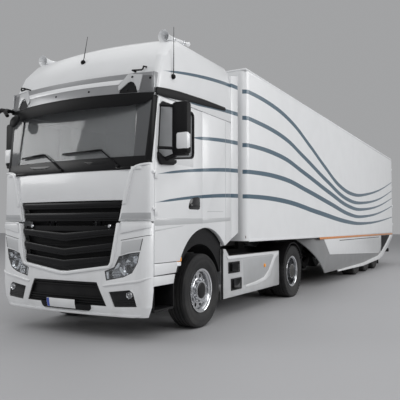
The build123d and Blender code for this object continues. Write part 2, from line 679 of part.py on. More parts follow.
# Doors with their window cut, the glass, and the mirror on its two arms
door_outline = ((door_front, door_bottom), (door_front, belt_z), (door_top_front, header_z - shut_gap),
                (door_rear, header_z - shut_gap), (door_rear, door_bottom))
window_outline = ((-1130, 2190), (-1070, 2925), (-270, 2925), (-270, 2190))
for side, name in ((-1, "right"), (1, "left")):
    inner_plane = Plane.YZ.offset(min(side * cab_half, side * cab_inner))
    glass_plane = Plane.YZ.offset(side * (cab_half - 26) - glass_thick / 2)
    with BuildPart() as door:
        prism(inner_plane, side_points(door_outline), cab_wall)
        rod("x", side * cab_half, arch_station, arch_z, arch_radius, 4 * cab_wall, Mode.SUBTRACT)
        prism(inner_plane, side_points(window_outline), cab_wall, Mode.SUBTRACT)
        for z in hinge_heights:
            low = (z - hinge_half, z + hinge_half)
            rod("z", side * hinge_x, hinge_station, z, hinge_barrel_radius, 2 * hinge_half)
            block((side * (cab_half + 1), side * (hinge_x + 4)), (hinge_station, hinge_station + 50), low)
            block((side * (cab_half - 5), side * hinge_x), (hinge_station + 15, hinge_station + 50), low)
            rod("z", side * hinge_x, hinge_station, z, hinge_pin_radius + spindle_clearance, 3 * hinge_half,
                Mode.SUBTRACT)
    door.part.label = f"door_{name}"
    export_step(door.part, f"parts/door_{name}.step")
    with BuildPart() as door_glass:
        prism(glass_plane, side_points(window_outline), glass_thick, Mode.ADD, seat_gap)
    door_glass.part.label = f"door_glass_{name}"
    export_step(door_glass.part, f"parts/door_glass_{name}.step")
    with BuildPart() as mirror_unit:
        with Locations((side * mirror_x, along(mirror_station), 2590)):
            Box(250, 130, 680)
        fillet(mirror_unit.edges(), 40)
        for z, start in ((2350, -1165), (2880, -1122)):
            arm = ((cab_half + seat_gap, start), (cab_half + seat_gap, start + 40), (mirror_x, mirror_station + 20),
                   (mirror_x, mirror_station - 20))
            prism(Plane.XY.offset(z - 18), [(side * x, along(station)) for x, station in arm], 36)
    mirror_unit.part.label = f"mirror_{name}"
    export_step(mirror_unit.part, f"parts/mirror_{name}.step")


def tyre_profile(x, station, axle_z, radius, width):
    """Plain tyre about an axle, seated on its rim."""
    half = width / 2
    bead = bead_share * width
    wall = radius - rim_radius
    outline = [(bead, rim_radius), (bead, rim_radius + 1.25 * rim_lip), (half, rim_radius + 0.55 * wall),
               (half - 8, radius - 0.12 * wall), (half - 40, radius)]
    points = outline + [(-u, r) for u, r in reversed(outline)]
    plane = Plane((x, along(station), axle_z), x_dir=(1, 0, 0), z_dir=(0, -1, 0))
    with BuildPart() as ring:
        with BuildSketch(plane):
            with BuildLine():
                Polyline(*points, close=True)
            make_face()
        revolve(axis=Axis((x, along(station), axle_z), (1, 0, 0)))
    return ring.part


def rim_solid(x, station, axle_z, width, discs):
    """Rim with its disc and hub parts, given as outward offset, thickness and radius."""
    bead = bead_share * width
    barrel = rim_radius - seat_gap
    lip = bead + seat_gap + rim_wall / 2
    rows = ((0, 2 * (bead + rim_wall), barrel), (lip, rim_wall, rim_radius + rim_lip),
            (-lip, rim_wall, rim_radius + rim_lip))
    with BuildPart() as rim:
        for offset_x, length, outer in rows:
            rod("x", x + offset_x, station, axle_z, outer, length)
        rod("x", x, station, axle_z, barrel - rim_wall, 2 * width, Mode.SUBTRACT)
        for offset_x, length, outer in discs:
            rod("x", x + offset_x, station, axle_z, outer, length)
    return rim.part


def bore_and_holes(part, x, station, axle_z, bore_start, bore_end, holes):
    """Cut the spindle bore and the hand holes of a wheel."""
    with BuildPart() as wheel:
        add(part)
        rod("x", (bore_start + bore_end) / 2, station, axle_z, spindle_radius + spindle_clearance,
            abs(bore_end - bore_start), Mode.SUBTRACT)
        for index in range(holes):
            angle = 2 * math.pi * index / holes
            rod("x", x, station + hand_hole_circle * math.cos(angle),
                axle_z + hand_hole_circle * math.sin(angle), hand_hole_radius, 800, Mode.SUBTRACT)
    return wheel.part


# Front wheels, drive wheels in twins, and single trailer wheels
for side, name in ((-1, "right"), (1, "left")):
    centre = side * front_wheel_x
    tyre = tyre_profile(centre, 0, tyre_radius, tyre_radius, tyre_width)
    tyre.label = f"front_tyre_{name}"
    export_step(tyre, f"parts/front_tyre_{name}.step")
    hub_mid = side * (hub_reach - 20) / 2
    rim = rim_solid(centre, 0, tyre_radius, tyre_width,
                    ((side * disc_offset, disc_thick, rim_radius - rim_wall / 2), (hub_mid, hub_reach + 20, hub_radius)))
    rim = bore_and_holes(rim, centre, 0, tyre_radius, centre - side * 400,
                         centre + side * (hub_reach - hub_cover + seat_gap), hand_holes)
    rim.label = f"front_rim_{name}"
    export_step(rim, f"parts/front_rim_{name}.step")

    with BuildPart() as twin_tyres:
        add(tyre_profile(centre, wheelbase, tyre_radius, tyre_radius, tyre_width))
        add(tyre_profile(side * inner_twin_x, wheelbase, tyre_radius, tyre_radius, tyre_width))
    twin_tyres.part.label = f"drive_tyres_{name}"
    export_step(twin_tyres.part, f"parts/drive_tyres_{name}.step")
    middle = side * (front_wheel_x - twin_spacing / 2)
    twin_discs = ((middle - centre, 2 * disc_thick, rim_radius - rim_wall / 2),)
    hub_length = abs(centre + side * hub_reach - middle)
    outer_rim = rim_solid(centre, wheelbase, tyre_radius, tyre_width,
                          twin_discs + (((middle - centre + side * hub_reach) / 2, hub_length, hub_radius),))
    inner_rim = rim_solid(side * inner_twin_x, wheelbase, tyre_radius, tyre_width,
                          ((middle - side * inner_twin_x, 2 * disc_thick, rim_radius - rim_wall / 2),))
    with BuildPart() as twin_rims:
        rod("x", middle, wheelbase, tyre_radius, rim_radius - seat_gap, twin_spacing - tyre_width / 2)
        rod("x", middle, wheelbase, tyre_radius, rim_radius - rim_wall, twin_spacing, Mode.SUBTRACT)
        add(outer_rim)
        add(inner_rim)
    rims = bore_and_holes(twin_rims.part, centre, wheelbase, tyre_radius, middle - side * 400,
                          centre + side * (hub_reach - hub_cover + seat_gap), hand_holes)
    rims.label = f"drive_rims_{name}"
    export_step(rims, f"parts/drive_rims_{name}.step")

    for number, station in enumerate(trailer_axle_stations, 1):
        centre_x = side * trailer_wheel_x
        trailer_tyre = tyre_profile(centre_x, station, trailer_tyre_radius, trailer_tyre_radius, trailer_tyre_width)
        trailer_rim = rim_solid(centre_x, station, trailer_tyre_radius, trailer_tyre_width,
                                ((-side * 20, disc_thick, rim_radius - rim_wall / 2), (0, 160, hub_radius)))
        trailer_rim = bore_and_holes(trailer_rim, centre_x, station, trailer_tyre_radius, centre_x - side * 400,
                                     centre_x + side * 60, 0)
        with BuildPart() as trailer_wheel:
            add(trailer_tyre)
            add(trailer_rim)
        trailer_wheel.part.label = f"trailer_wheel_{name}_{number}"
        export_step(trailer_wheel.part, f"parts/trailer_wheel_{name}_{number}.step")

# Trailer chassis: neck plate with the king pin, beams, outriggers, landing legs and the under-run bar
deep_start = kingpin_station + 1950
leg_station, leg_x, leg_bottom = deep_start + 500, 760, 400
neck_bottom = fifth_wheel_top + seat_gap
floor_bottom = box_floor_top - box_floor_thick
with BuildPart() as trailer_chassis:
    block((-560, 560), (box_front + 60, deep_start), (neck_bottom, floor_bottom))
    rod("z", 0, kingpin_station, neck_bottom - 42, kingpin_radius, 84)
    rod("z", 0, kingpin_station, neck_bottom - 70, 36, 28)
    beam = ((deep_start - 60, floor_bottom), (beam_end, floor_bottom), (beam_end, 950), (deep_start + 650, 850),
            (deep_start + 30, 1050), (deep_start - 60, neck_bottom))
    for side in (-1, 1):
        prism(Plane.YZ.offset(side * 410 - 60), side_points(beam), 120)
        block((side * 380, side * 470), (box_rear - 330, box_rear - 230), (500, 1000))
    outriggers = 6
    outrigger_pitch = (box_rear - 1600 - deep_start - 1450) / (outriggers - 1)
    for count in range(outriggers):
        station = deep_start + 1450 + count * outrigger_pitch
        block((-box_inner + 30, box_inner - 30), (station - 40, station + 40), (floor_bottom - 100, floor_bottom))
    for side in (-1, 1):
        block((side * leg_x - 65, side * leg_x + 65), (leg_station - 65, leg_station + 65), (700, floor_bottom))
        block((side * leg_x - 50, side * leg_x + 50), (leg_station - 50, leg_station + 50), (leg_bottom, 700))
        block((side * leg_x - 130, side * leg_x + 130), (leg_station - 110, leg_station + 110),
              (leg_bottom, leg_bottom + 20))
        block((side * 470, side * leg_x), (leg_station - 40, leg_station + 40), (930, 1010))
    rod("x", 0, leg_station, 760, 25, 2 * leg_x)
    block((-1150, 1150), (box_rear - 340, box_rear - 220), (450, 570))
trailer_chassis.part.label = "trailer_chassis"
export_step(trailer_chassis.part, "parts/trailer_chassis.step")

# Trailer axles with their trailing arms and bellows
with BuildPart() as trailer_axles:
    for station in trailer_axle_stations:
        rod("x", 0, station, trailer_tyre_radius, 63, 2 * 760)
        rod("x", 0, station, trailer_tyre_radius, spindle_radius, 2 * (trailer_wheel_x + 60 - seat_gap))
        for side in (-1, 1):
            prism(Plane.YZ.offset(side * 410 - 45), side_points(((station - 480, 860), (station - 400, 620),
                  (station + 330, 480), (station + 430, 480), (station + 430, 540), (station + 100, 600),
                  (station - 300, 760), (station - 300, 1000), (station - 480, 1000))), 90)
            rod("z", side * 410, station + 330, 750, 120, 500)
    for side in (-1, 1):
        prism(Plane.YZ.offset(side * 410 - 60), side_points(((deep_start - 60, floor_bottom),
              (beam_end, floor_bottom), (beam_end, 950 - seat_gap), (deep_start + 650, 850 - seat_gap),
              (deep_start + 30, 1050), (deep_start - 60, neck_bottom))), 120, Mode.SUBTRACT)
trailer_axles.part.label = "trailer_axles"
export_step(trailer_axles.part, "parts/trailer_axles.step")

# Trailer box: floor, front wall, side walls, roof and rear portal
with BuildPart() as trailer_floor:
    block((-box_inner, box_inner), (box_front + box_wall, portal_rear - portal_depth), (floor_bottom, box_floor_top))
trailer_floor.part.label = "trailer_floor"
export_step(trailer_floor.part, "parts/trailer_floor.step")

with BuildPart() as trailer_front_wall:
    block((-box_inner, box_inner), (box_front, box_front + box_wall), (trailer_bottom, trailer_top - box_roof))
trailer_front_wall.part.label = "trailer_front_wall"
export_step(trailer_front_wall.part, "parts/trailer_front_wall.step")

with BuildPart() as trailer_walls:
    for side in (-1, 1):
        block((side * box_inner, side * box_half), (box_front, portal_rear - portal_depth),
              (trailer_bottom, trailer_top - box_roof))
trailer_walls.part.label = "trailer_walls"
export_step(trailer_walls.part, "parts/trailer_walls.step")

with BuildPart() as trailer_roof:
    block((-box_half, box_half), (box_front, portal_rear), (trailer_top - box_roof, trailer_top))
trailer_roof.part.label = "trailer_roof"
export_step(trailer_roof.part, "parts/trailer_roof.step")

portal_post = 70
rear_pin_x = box_half - rear_pin_inset
rear_pin_station = leaf_rear + rear_pin_back
with BuildPart() as rear_portal:
    block((-box_half, box_half), (portal_rear - portal_depth, portal_rear), (trailer_bottom, trailer_top - box_roof))
    block((-box_half + portal_post, box_half - portal_post), (portal_rear - 2 * portal_depth, portal_rear + 10),
          (box_floor_top, trailer_top - box_roof - portal_post), Mode.SUBTRACT)
    for side in (-1, 1):
        for z in rear_hinge_heights:
            low = (z - 75, z - 31)
            block((side * (rear_pin_x - 4), side * (rear_pin_x + 6)), (portal_rear - 15, rear_pin_station), low)
            rod("z", side * rear_pin_x, rear_pin_station, sum(low) / 2, rear_barrel_radius, low[1] - low[0])
            rod("z", side * rear_pin_x, rear_pin_station, z - 22.5, rear_pin_radius, 105)
rear_portal.part.label = "rear_portal"
export_step(rear_portal.part, "parts/rear_portal.step")

# Rear door leaves
for side, name in ((-1, "right"), (1, "left")):
    with BuildPart() as leaf:
        block((side * 4, side * (rear_pin_x - 6)), (leaf_front, leaf_rear), (trailer_bottom + 30, trailer_top - 10))
        for z in rear_hinge_heights:
            block((side * (rear_pin_x - 70), side * (rear_pin_x - 3)), (leaf_rear - 3, rear_pin_station - 6),
                  (z - 30, z + 30))
            rod("z", side * rear_pin_x, rear_pin_station, z, rear_barrel_radius, 60)
            rod("z", side * rear_pin_x, rear_pin_station, z, rear_pin_radius + spindle_clearance, 80, Mode.SUBTRACT)
    leaf.part.label = f"rear_door_{name}"
    export_step(leaf.part, f"parts/rear_door_{name}.step")

# Side skirts: an upright band over a lower band that leans in, curving inwards to a bow at the front
skirt_front = deep_start - 70
skirt_bend = deep_start + 950
skirt_knee = trailer_axle_stations[2] + 340
skirt_rise = trailer_axle_stations[0] + 460
skirt_outline = ((skirt_front - 180, 1200), (box_rear - 150, 1200), (box_rear - 150, 1030), (skirt_knee, 410),
                 (skirt_rise, skirt_bottom), (skirt_bend, skirt_bottom), (skirt_front - 30, 1150))
with BuildPart() as skirt:
    with BuildLine() as skirt_path:
        run = Line((box_half, along(box_rear - 120)), (box_half, along(skirt_bend)))
        TangentArc(run @ 1, (870, along(skirt_front)), tangent=run % 1)
    with BuildSketch(Plane((box_half, along(box_rear - 120), 0), x_dir=(1, 0, 0), z_dir=(0, -1, 0))):
        with BuildLine():
            Polyline((0, trailer_bottom - seat_gap), (0, 720), (-35, skirt_bottom - 20),
                     (-35 - skirt_thick, skirt_bottom - 20), (-skirt_thick, 720),
                     (-skirt_thick, trailer_bottom - seat_gap), close=True)
        make_face()
    sweep(path=skirt_path.line)
    prism(Plane.YZ.offset(-100), side_points(skirt_outline), 1500, Mode.INTERSECT)
with BuildPart() as side_skirts:
    add(skirt.part)
    mirror(skirt.part, about=Plane.YZ)
side_skirts.part.label = "side_skirts"
export_step(side_skirts.part, "parts/side_skirts.step")
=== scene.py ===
"""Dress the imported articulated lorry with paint, glass, lamps, tyres and fittings.

Everything is in metres, in the solids' frame. Each class builds one sub-assembly.
"""

import json
import logging
import math
from collections.abc import Iterable, Sequence
from dataclasses import dataclass, field
from enum import Enum

import bmesh
import bpy
from mathutils import Matrix, Vector

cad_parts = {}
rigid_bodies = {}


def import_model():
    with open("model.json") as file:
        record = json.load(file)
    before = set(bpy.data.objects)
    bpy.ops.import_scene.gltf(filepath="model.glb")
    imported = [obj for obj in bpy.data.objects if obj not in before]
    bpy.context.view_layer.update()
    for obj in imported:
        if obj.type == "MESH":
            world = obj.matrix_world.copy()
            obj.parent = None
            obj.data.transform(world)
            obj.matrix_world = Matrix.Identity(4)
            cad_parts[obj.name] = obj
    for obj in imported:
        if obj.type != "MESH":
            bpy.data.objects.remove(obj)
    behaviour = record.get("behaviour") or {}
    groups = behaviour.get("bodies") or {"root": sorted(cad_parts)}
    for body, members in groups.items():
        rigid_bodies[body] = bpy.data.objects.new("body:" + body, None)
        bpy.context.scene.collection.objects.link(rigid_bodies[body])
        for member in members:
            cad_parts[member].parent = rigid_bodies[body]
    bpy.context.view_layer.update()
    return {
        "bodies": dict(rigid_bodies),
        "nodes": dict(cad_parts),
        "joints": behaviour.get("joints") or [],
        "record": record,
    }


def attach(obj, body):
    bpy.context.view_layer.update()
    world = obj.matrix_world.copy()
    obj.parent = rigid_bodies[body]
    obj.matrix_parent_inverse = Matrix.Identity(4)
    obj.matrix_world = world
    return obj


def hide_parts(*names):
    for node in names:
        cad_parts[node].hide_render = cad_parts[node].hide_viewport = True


LOG = logging.getLogger("lorry")
Pair = tuple[float, float]
Row = tuple[float, ...]
Plate = tuple[Sequence[Pair], float, float, float]
FRONT_AXLE_Y = -6.790
CAB_SIDE = 1.24
FORWARD = (0, -1, 0)
SPIN_WELD = 1e-5
NODE_WELD = 2e-5
PIECE_WELD = 2e-6
FLAT_ANGLE = math.radians(0.8)
RIM_ANGLE = 0.4
FRAME_ANGLE = 0.5
FLOW_BLUE = (0.065, 0.12, 0.165, 1.0)
FILM_SHADE = (0.30, 0.285, 0.26, 1.0)
FILM_ROUGH = 0.35
COAT_ROUGH = 0.14
ROUGH_LEAST = 0.94
ROUGH_SPREAD = 0.12
BUMP_DEPTH = 0.002
GLASS_GRAIN = 40.0
GLASS_IOR = 1.45
GLASS_SHADE = 0.9
GLASS_HAZE = 0.04
SOFT_ANGLE = 40.0


class Side(Enum):
    """A side of the lorry, as the sign of its x."""

    LEFT = 1
    RIGHT = -1


SIGNS = tuple(side.value for side in Side)
SIDES = tuple((side.name.lower(), side.value) for side in Side)


def along(station: float) -> float:
    """Y of a station measured rearwards from the front axle."""
    return FRONT_AXLE_Y + station


def at(x: float, station: float, z: float) -> Vector:
    """Point at a station measured rearwards from the front axle."""
    return Vector((x, along(station), z))


class Shape:
    """One mesh in the making, with the operators that the lorry's pieces are made by."""

    def __init__(self) -> None:
        """Start with nothing."""
        self.bm = bmesh.new()

    def bevel(self, edges: Iterable[bmesh.types.BMEdge], width: float, segments: int = 2) -> None:
        """Round some edges.

        Args:
            edges: The edges to round.
            width: How far the rounding reaches from each edge.
            segments: Strips that the rounding is made of.
        """
        bmesh.ops.bevel(self.bm, geom=list(edges), offset=width, offset_type="OFFSET", segments=segments,
                        profile=0.5, affect="EDGES", clamp_overlap=True, material=-1)

    def box(self, low: Sequence[float], high: Sequence[float], bevel: float = 0.0,
            turn: Matrix | None = None) -> None:
        """Add a box.

        Args:
            low: Its lowest corner before it is turned.
            high: Its highest corner before it is turned.
            bevel: Width of the rounding of its edges.
            turn: Turn about its middle.
        """
        first, last = Vector(low), Vector(high)
        size = Matrix.Diagonal((*(last - first), 1.0))
        place = Matrix.Translation((first + last) / 2) @ (turn or Matrix()) @ size
        made = bmesh.ops.create_cube(self.bm, size=1.0, matrix=place)
        if bevel:
            self.bevel({edge for vert in made["verts"] for edge in vert.link_edges}, bevel)

    def rod(self, start: Vector, end: Vector, radius: float, far_radius: float | None = None, sides: int = 24,
            bevel: float = 0.0) -> None:
        """Add a straight rod or cone.

        Args:
            start: Middle of one end.
            end: Middle of the other end.
            radius: Radius at the start.
            far_radius: Radius at the end, where it differs.
            sides: Flats round it.
            bevel: Width of the rounding of its two rims.
        """
        axis = end - start
        place = Matrix.Translation((start + end) / 2) @ axis.to_track_quat("Z", "Y").to_matrix().to_4x4()
        made = bmesh.ops.create_cone(self.bm, cap_ends=True, segments=sides, radius1=radius,
                                     radius2=radius if far_radius is None else far_radius, depth=axis.length,
                                     matrix=place)
        if bevel:
            self.bevel({edge for vert in made["verts"] for edge in vert.link_edges
                        if any(len(face.verts) > 4 for face in edge.link_faces)}, bevel)

    def lathe(self, profile: Sequence[Pair], centre: Vector, axis: Sequence[float] = (1, 0, 0),
              steps: int = 48, ring: bool = False) -> None:
        """Turn a profile about an axis.

        Args:
            profile: Distance along the axis and radius of each point.
            centre: Point that the distances are measured from.
            axis: The axis, as long as one.
            steps: Flats round it.
            ring: Whether the profile closes on itself.
        """
        line = Vector(axis)
        side = line.orthogonal().normalized()
        verts = [self.bm.verts.new(centre + line * reach + side * radius) for reach, radius in profile]
        pairs = list(zip(verts, verts[1:]))
        if ring:
            pairs.append((verts[-1], verts[0]))
        edges = [self.bm.edges.new(pair) for pair in pairs]
        bmesh.ops.spin(self.bm, geom=verts + edges, cent=centre, axis=line, angle=math.tau, steps=steps,
                       use_merge=True, use_normal_flip=False, use_duplicate=False)
        bmesh.ops.remove_doubles(self.bm, verts=self.bm.verts, dist=SPIN_WELD)

    def sweep(self, section: Sequence[Pair], path: Sequence[Vector], up: Sequence[float] = (0, 0, 1)) -> None:
        """Carry a closed section along a path.

        Args:
            section: Points across and up, seen along the path.
            path: Points that the section's origin goes through.
            up: Direction that the section's up leans to.
        """
        frames = []
        rise = Vector(up)
        for index, point in enumerate(path):
            ahead = (path[min(index + 1, len(path) - 1)] - path[max(index - 1, 0)]).normalized()
            across = ahead.cross(rise).normalized()
            rise = across.cross(ahead)
            turn = Matrix((across, rise, ahead)).transposed().to_4x4()
            frames.append(Matrix.Translation(point) @ turn)
        verts = [self.bm.verts.new(frames[0] @ Vector((u, v, 0))) for u, v in section]
        ring = [self.bm.edges.new((verts[i - 1], verts[i])) for i in range(len(verts))]
        bmesh.ops.edgeloop_fill(self.bm, edges=ring)
        for before, after in zip(frames, frames[1:]):
            made = bmesh.ops.extrude_edge_only(self.bm, edges=ring)["geom"]
            verts = [item for item in made if isinstance(item, bmesh.types.BMVert)]
            fresh = set(verts)
            ring = [item for item in made
                    if isinstance(item, bmesh.types.BMEdge) and fresh.issuperset(item.verts)]
            bmesh.ops.transform(self.bm, matrix=after @ before.inverted(), verts=verts)
        bmesh.ops.edgeloop_fill(self.bm, edges=ring)

    def tube(self, path: Sequence[Vector], radius: float, sides: int = 10) -> None:
        """Add a round bar along a path.

        Args:
            path: Points along its middle.
            radius: Its radius.
            sides: Flats round it.
        """
        section = [(radius * math.cos(math.tau * i / sides), radius * math.sin(math.tau * i / sides))
                   for i in range(sides)]
        up = (0, 0, 1) if abs((path[1] - path[0]).normalized().z) < 0.9 else (0, 1, 0)
        self.sweep(section, path, up)

    def fill(self, outline: Sequence[Vector], corner: float = 0.0) -> list[bmesh.types.BMVert]:
        """Make one flat face of an outline.

        Args:
            outline: Its corners, in order, in one plane.
            corner: Radius that its corners are rounded to.

        Returns:
            The face's corners, in any order.
        """
        verts = [self.bm.verts.new(point) for point in outline]
        ring = [self.bm.edges.new((verts[i - 1], verts[i])) for i in range(len(verts))]
        bmesh.ops.edgeloop_fill(self.bm, edges=ring)
        if corner:
            verts = bmesh.ops.bevel(self.bm, geom=verts, offset=corner, offset_type="OFFSET", segments=5,
                                    profile=0.5, affect="VERTICES", clamp_overlap=True,
                                    material=-1)["verts"]
        return verts

    def thicken(self, faces: list[bmesh.types.BMFace], depth: Sequence[float]) -> list[bmesh.types.BMVert]:
        """Draw faces out into a solid.

        Args:
            faces: The faces of its near side.
            depth: The way to its far side.

        Returns:
            The corners of its far side.
        """
        made = bmesh.ops.extrude_face_region(self.bm, geom=faces)["geom"]
        far = [item for item in made if isinstance(item, bmesh.types.BMVert)]
        bmesh.ops.translate(self.bm, vec=Vector(depth), verts=far)
        return far

    def plate(self, outline: Sequence[Vector], depth: Sequence[float], bevel: float = 0.0, segments: int = 2,
              corner: float = 0.0) -> None:
        """Add a flat plate.

        Args:
            outline: Its corners, in order, in one plane.
            depth: The way from that plane to its other face.
            bevel: Width of the rounding of its edges.
            segments: Strips that the rounding is made of.
            corner: Radius that its outline's corners are rounded to.
        """
        verts = self.fill(outline, corner)
        far = self.thicken([verts[0].link_faces[0]], depth)
        if bevel:
            rims = {edge for vert in verts + far for edge in vert.link_edges
                    if edge.calc_face_angle(0.0) > RIM_ANGLE}
            self.bevel(rims, bevel, segments)

    def frame_plate(self, outline: Sequence[Vector], width: float, depth: Sequence[float], bevel: float = 0.0,
                    corner: float = 0.0) -> None:
        """Add a flat plate with its middle cut out.

        Args:
            outline: Its outer corners, in order, in one plane.
            width: Width of the frame that is left.
            depth: The way from that plane to its other face.
            bevel: Width of the rounding of its edges.
            corner: Radius that its outline's corners are rounded to.
        """
        middle = [self.fill(outline, corner)[0].link_faces[0]]
        self.bm.normal_update()
        rim = bmesh.ops.inset_region(self.bm, faces=middle, thickness=width, use_even_offset=True,
                                     use_boundary=True)
        bmesh.ops.delete(self.bm, geom=middle, context="FACES_ONLY")
        far = self.thicken(rim["faces"], depth)
        if bevel:
            rims = {edge for vert in far for edge in vert.link_edges
                    if edge.calc_face_angle(0.0) > FRAME_ANGLE}
            self.bevel(rims, bevel)

    def front_plate(self, outline: Sequence[Pair], recess: float, thick: float, bevel: float = 0.0) -> None:
        """Add a plate drawn in x and z, set back from the face that it is wrapped on later."""
        self.plate([Vector((x, recess, z)) for x, z in outline], (0, thick, 0), bevel)

    def nose_plate(self, outline: Sequence[Pair], recess: float, thick: float, bevel: float = 0.0) -> None:
        """Add a plate on both halves of the nose, in one over the middle where its outline starts there.

        Args:
            outline: The left half's corners in x and z.
            recess: Set-back from the face.
            thick: Its thickness.
            bevel: Width of the rounding of its edges.
        """
        other = [(-x, z) for x, z in reversed(outline)]
        halves = (outline, other)
        if outline[0][0] == 0:
            halves = ([*outline, *(point for point in other if point[0])],)
        for half in halves:
            self.front_plate(half, recess, thick, bevel)

    def nose_frame(self, outline: Sequence[Pair], width: float, recess: float, thick: float) -> None:
        """Add a frame on each half of the nose, drawn in x and z and set back from the face."""
        for sign in SIGNS:
            self.frame_plate([Vector((sign * x, recess, z)) for x, z in outline], width, (0, thick, 0))

    def side_frame(self, outline: Sequence[Pair], width: float, x: float, thick: float, bevel: float = 0.0,
                   corner: float = 0.0) -> None:
        """Add a frame drawn in stations and heights, from one x over a thickness."""
        self.frame_plate([at(x, station, z) for station, z in outline], width, (thick, 0, 0), bevel, corner)

    def side_plate(self, outline: Sequence[Pair], x: float, thick: float, bevel: float = 0.0) -> None:
        """Add a plate drawn in stations and heights, from one x over a thickness."""
        self.plate([at(x, station, z) for station, z in outline], (thick, 0, 0), bevel)

    def side_boxes(self, low: Row, high: Row, bevel: float) -> None:
        """Add a box on each side, between corners given for the left as x, station and height.

        Args:
            low: The left box's lowest corner.
            high: Its highest corner.
            bevel: Width of the rounding of its edges.
        """
        for sign in SIGNS:
            first, last = at(*low), at(*high)
            first.x, last.x = sorted((sign * low[0], sign * high[0]))
            self.box(first, last, bevel)

    def flipped(self, sign: int) -> "Shape":
        """Move the shape to the other side where the sign is negative.

        Args:
            sign: The sign of the side's x.

        Returns:
            The same shape.
        """
        if sign < 0:
            bmesh.ops.scale(self.bm, vec=(-1, 1, 1), verts=self.bm.verts)
        return self


@dataclass(frozen=True)
class NoseFace:
    """Curved front of one body: rows of height, half width, front station, sweep and corner, lowest first."""

    body: str
    rows: tuple[Row, ...]
    reach: float = 1.3
    corner_cuts: Row = (1.175, 1.215, 1.23)

    def front(self, x: float, z: float) -> float:
        """Y of the face.

        Args:
            x: Distance from the middle.
            z: Height.

        Returns:
            The face's y at that place, in the lorry's frame.
        """
        low = self.rows[0]
        high = self.rows[-1]
        for first, second in zip(self.rows, self.rows[1:]):
            if first[0] <= z <= second[0]:
                low, high = first, second
        share = min(max((z - low[0]) / (high[0] - low[0]), 0.0), 1.0)
        _, half, tip, sweep, corner = (a + (b - a) * share for a, b in zip(low, high))
        radius = (half * half + sweep * sweep) / (2 * sweep)
        middle = half - corner
        out = min(abs(x), half - 0.001)
        drop = radius - math.sqrt((radius - corner) ** 2 - middle ** 2)
        if out > middle * radius / (radius - corner):
            return along(tip) + drop - math.sqrt(corner ** 2 - (out - middle) ** 2)
        return along(tip) + radius - math.sqrt(radius ** 2 - out ** 2)

    def spot(self, x: float, z: float, recess: float) -> Vector:
        """Point set back from the face."""
        return Vector((x, self.front(x, z) + recess, z))

    def wrap(self, shape: Shape, step: float = 0.06) -> Shape:
        """Bend a shape that was drawn about y = 0 onto the face.

        Args:
            shape: The shape, drawn in x and z with its set-back as y.
            step: Width of the strips that it is cut into.

        Returns:
            The same shape.
        """
        strips = round(self.reach / step)
        cuts = [((x * step, 0, 0), (1, 0, 0)) for x in range(-strips, strips + 1)]
        cuts += [((x, 0, 0), (1, 0, 0)) for near in self.corner_cuts for x in (near, -near)]
        cuts += [((0, 0, row[0]), (0, 0, 1)) for row in self.rows]
        for point, normal in cuts:
            geom = shape.bm.verts[:] + shape.bm.edges[:] + shape.bm.faces[:]
            bmesh.ops.bisect_plane(shape.bm, geom=geom, dist=SPIN_WELD, plane_co=point, plane_no=normal)
        for vert in shape.bm.verts:
            vert.co.y += self.front(vert.co.x, vert.co.z)
        return shape


BUMPER_FACE = NoseFace("tractor", ((0.305, 1.185, -1.375, 0.11, 0.12), (0.43, 1.225, -1.408, 0.11, 0.115),
                        (0.62, 1.245, -1.42, 0.11, 0.11), (1.432, 1.245, -1.42, 0.11, 0.11)))
CAB_FACE = NoseFace("cab", ((1.455, 1.245, -1.38, 0.11, 0.08), (2.08, 1.245, -1.372, 0.105, 0.08),
                     (3.0, 1.245, -1.23, 0.06, 0.06)))


class Nodes:
    """Short hand for one node tree."""

    def __init__(self, tree: bpy.types.NodeTree) -> None:
        """Keep the tree."""
        self.tree = tree

    def add(self, kind: str, inputs: dict[str | int, object] | None = None,
            **settings: object) -> bpy.types.Node:
        """Add a node.

        Args:
            kind: Its type.
            inputs: Values or sockets for its inputs.
            settings: Its own properties.

        Returns:
            The node.
        """
        node = self.tree.nodes.new(kind)
        for key, value in settings.items():
            setattr(node, key, value)
        self.feed(node, inputs or {})
        return node

    def feed(self, node: bpy.types.Node, inputs: dict[str | int, object]) -> None:
        """Give a node's inputs their values or sockets.

        Args:
            node: The node.
            inputs: Values or sockets for its inputs.
        """
        for key, value in inputs.items():
            if isinstance(value, bpy.types.NodeSocket):
                self.tree.links.new(value, node.inputs[key])
            else:
                node.inputs[key].default_value = value

    def math(self, operation: str, *values: object, clamp: bool = False) -> bpy.types.NodeSocket:
        """Add a sum of numbers and return its result."""
        node = self.add("ShaderNodeMath", dict(enumerate(values)), operation=operation, use_clamp=clamp)
        return node.outputs[0]

    def mix(self, factor: object, first: object, second: object) -> bpy.types.NodeSocket:
        """Mix two colours and return the result."""
        node = self.add("ShaderNodeMix", {0: factor, 6: first, 7: second}, data_type="RGBA")
        return node.outputs[2]

    def noise(self, vector: bpy.types.NodeSocket, scale: object, detail: float = 3.0) -> bpy.types.NodeSocket:
        """Add a noise pattern and return its value."""
        node = self.add("ShaderNodeTexNoise", {"Vector": vector, "Scale": scale, "Detail": detail})
        return node.outputs["Fac"]

    def step(self, value: object, low: object, high: object) -> bpy.types.NodeSocket:
        """Rise smoothly from nought to one between two values."""
        node = self.add("ShaderNodeMapRange", {0: value, 1: low, 2: high}, interpolation_type="SMOOTHSTEP")
        return node.outputs[0]


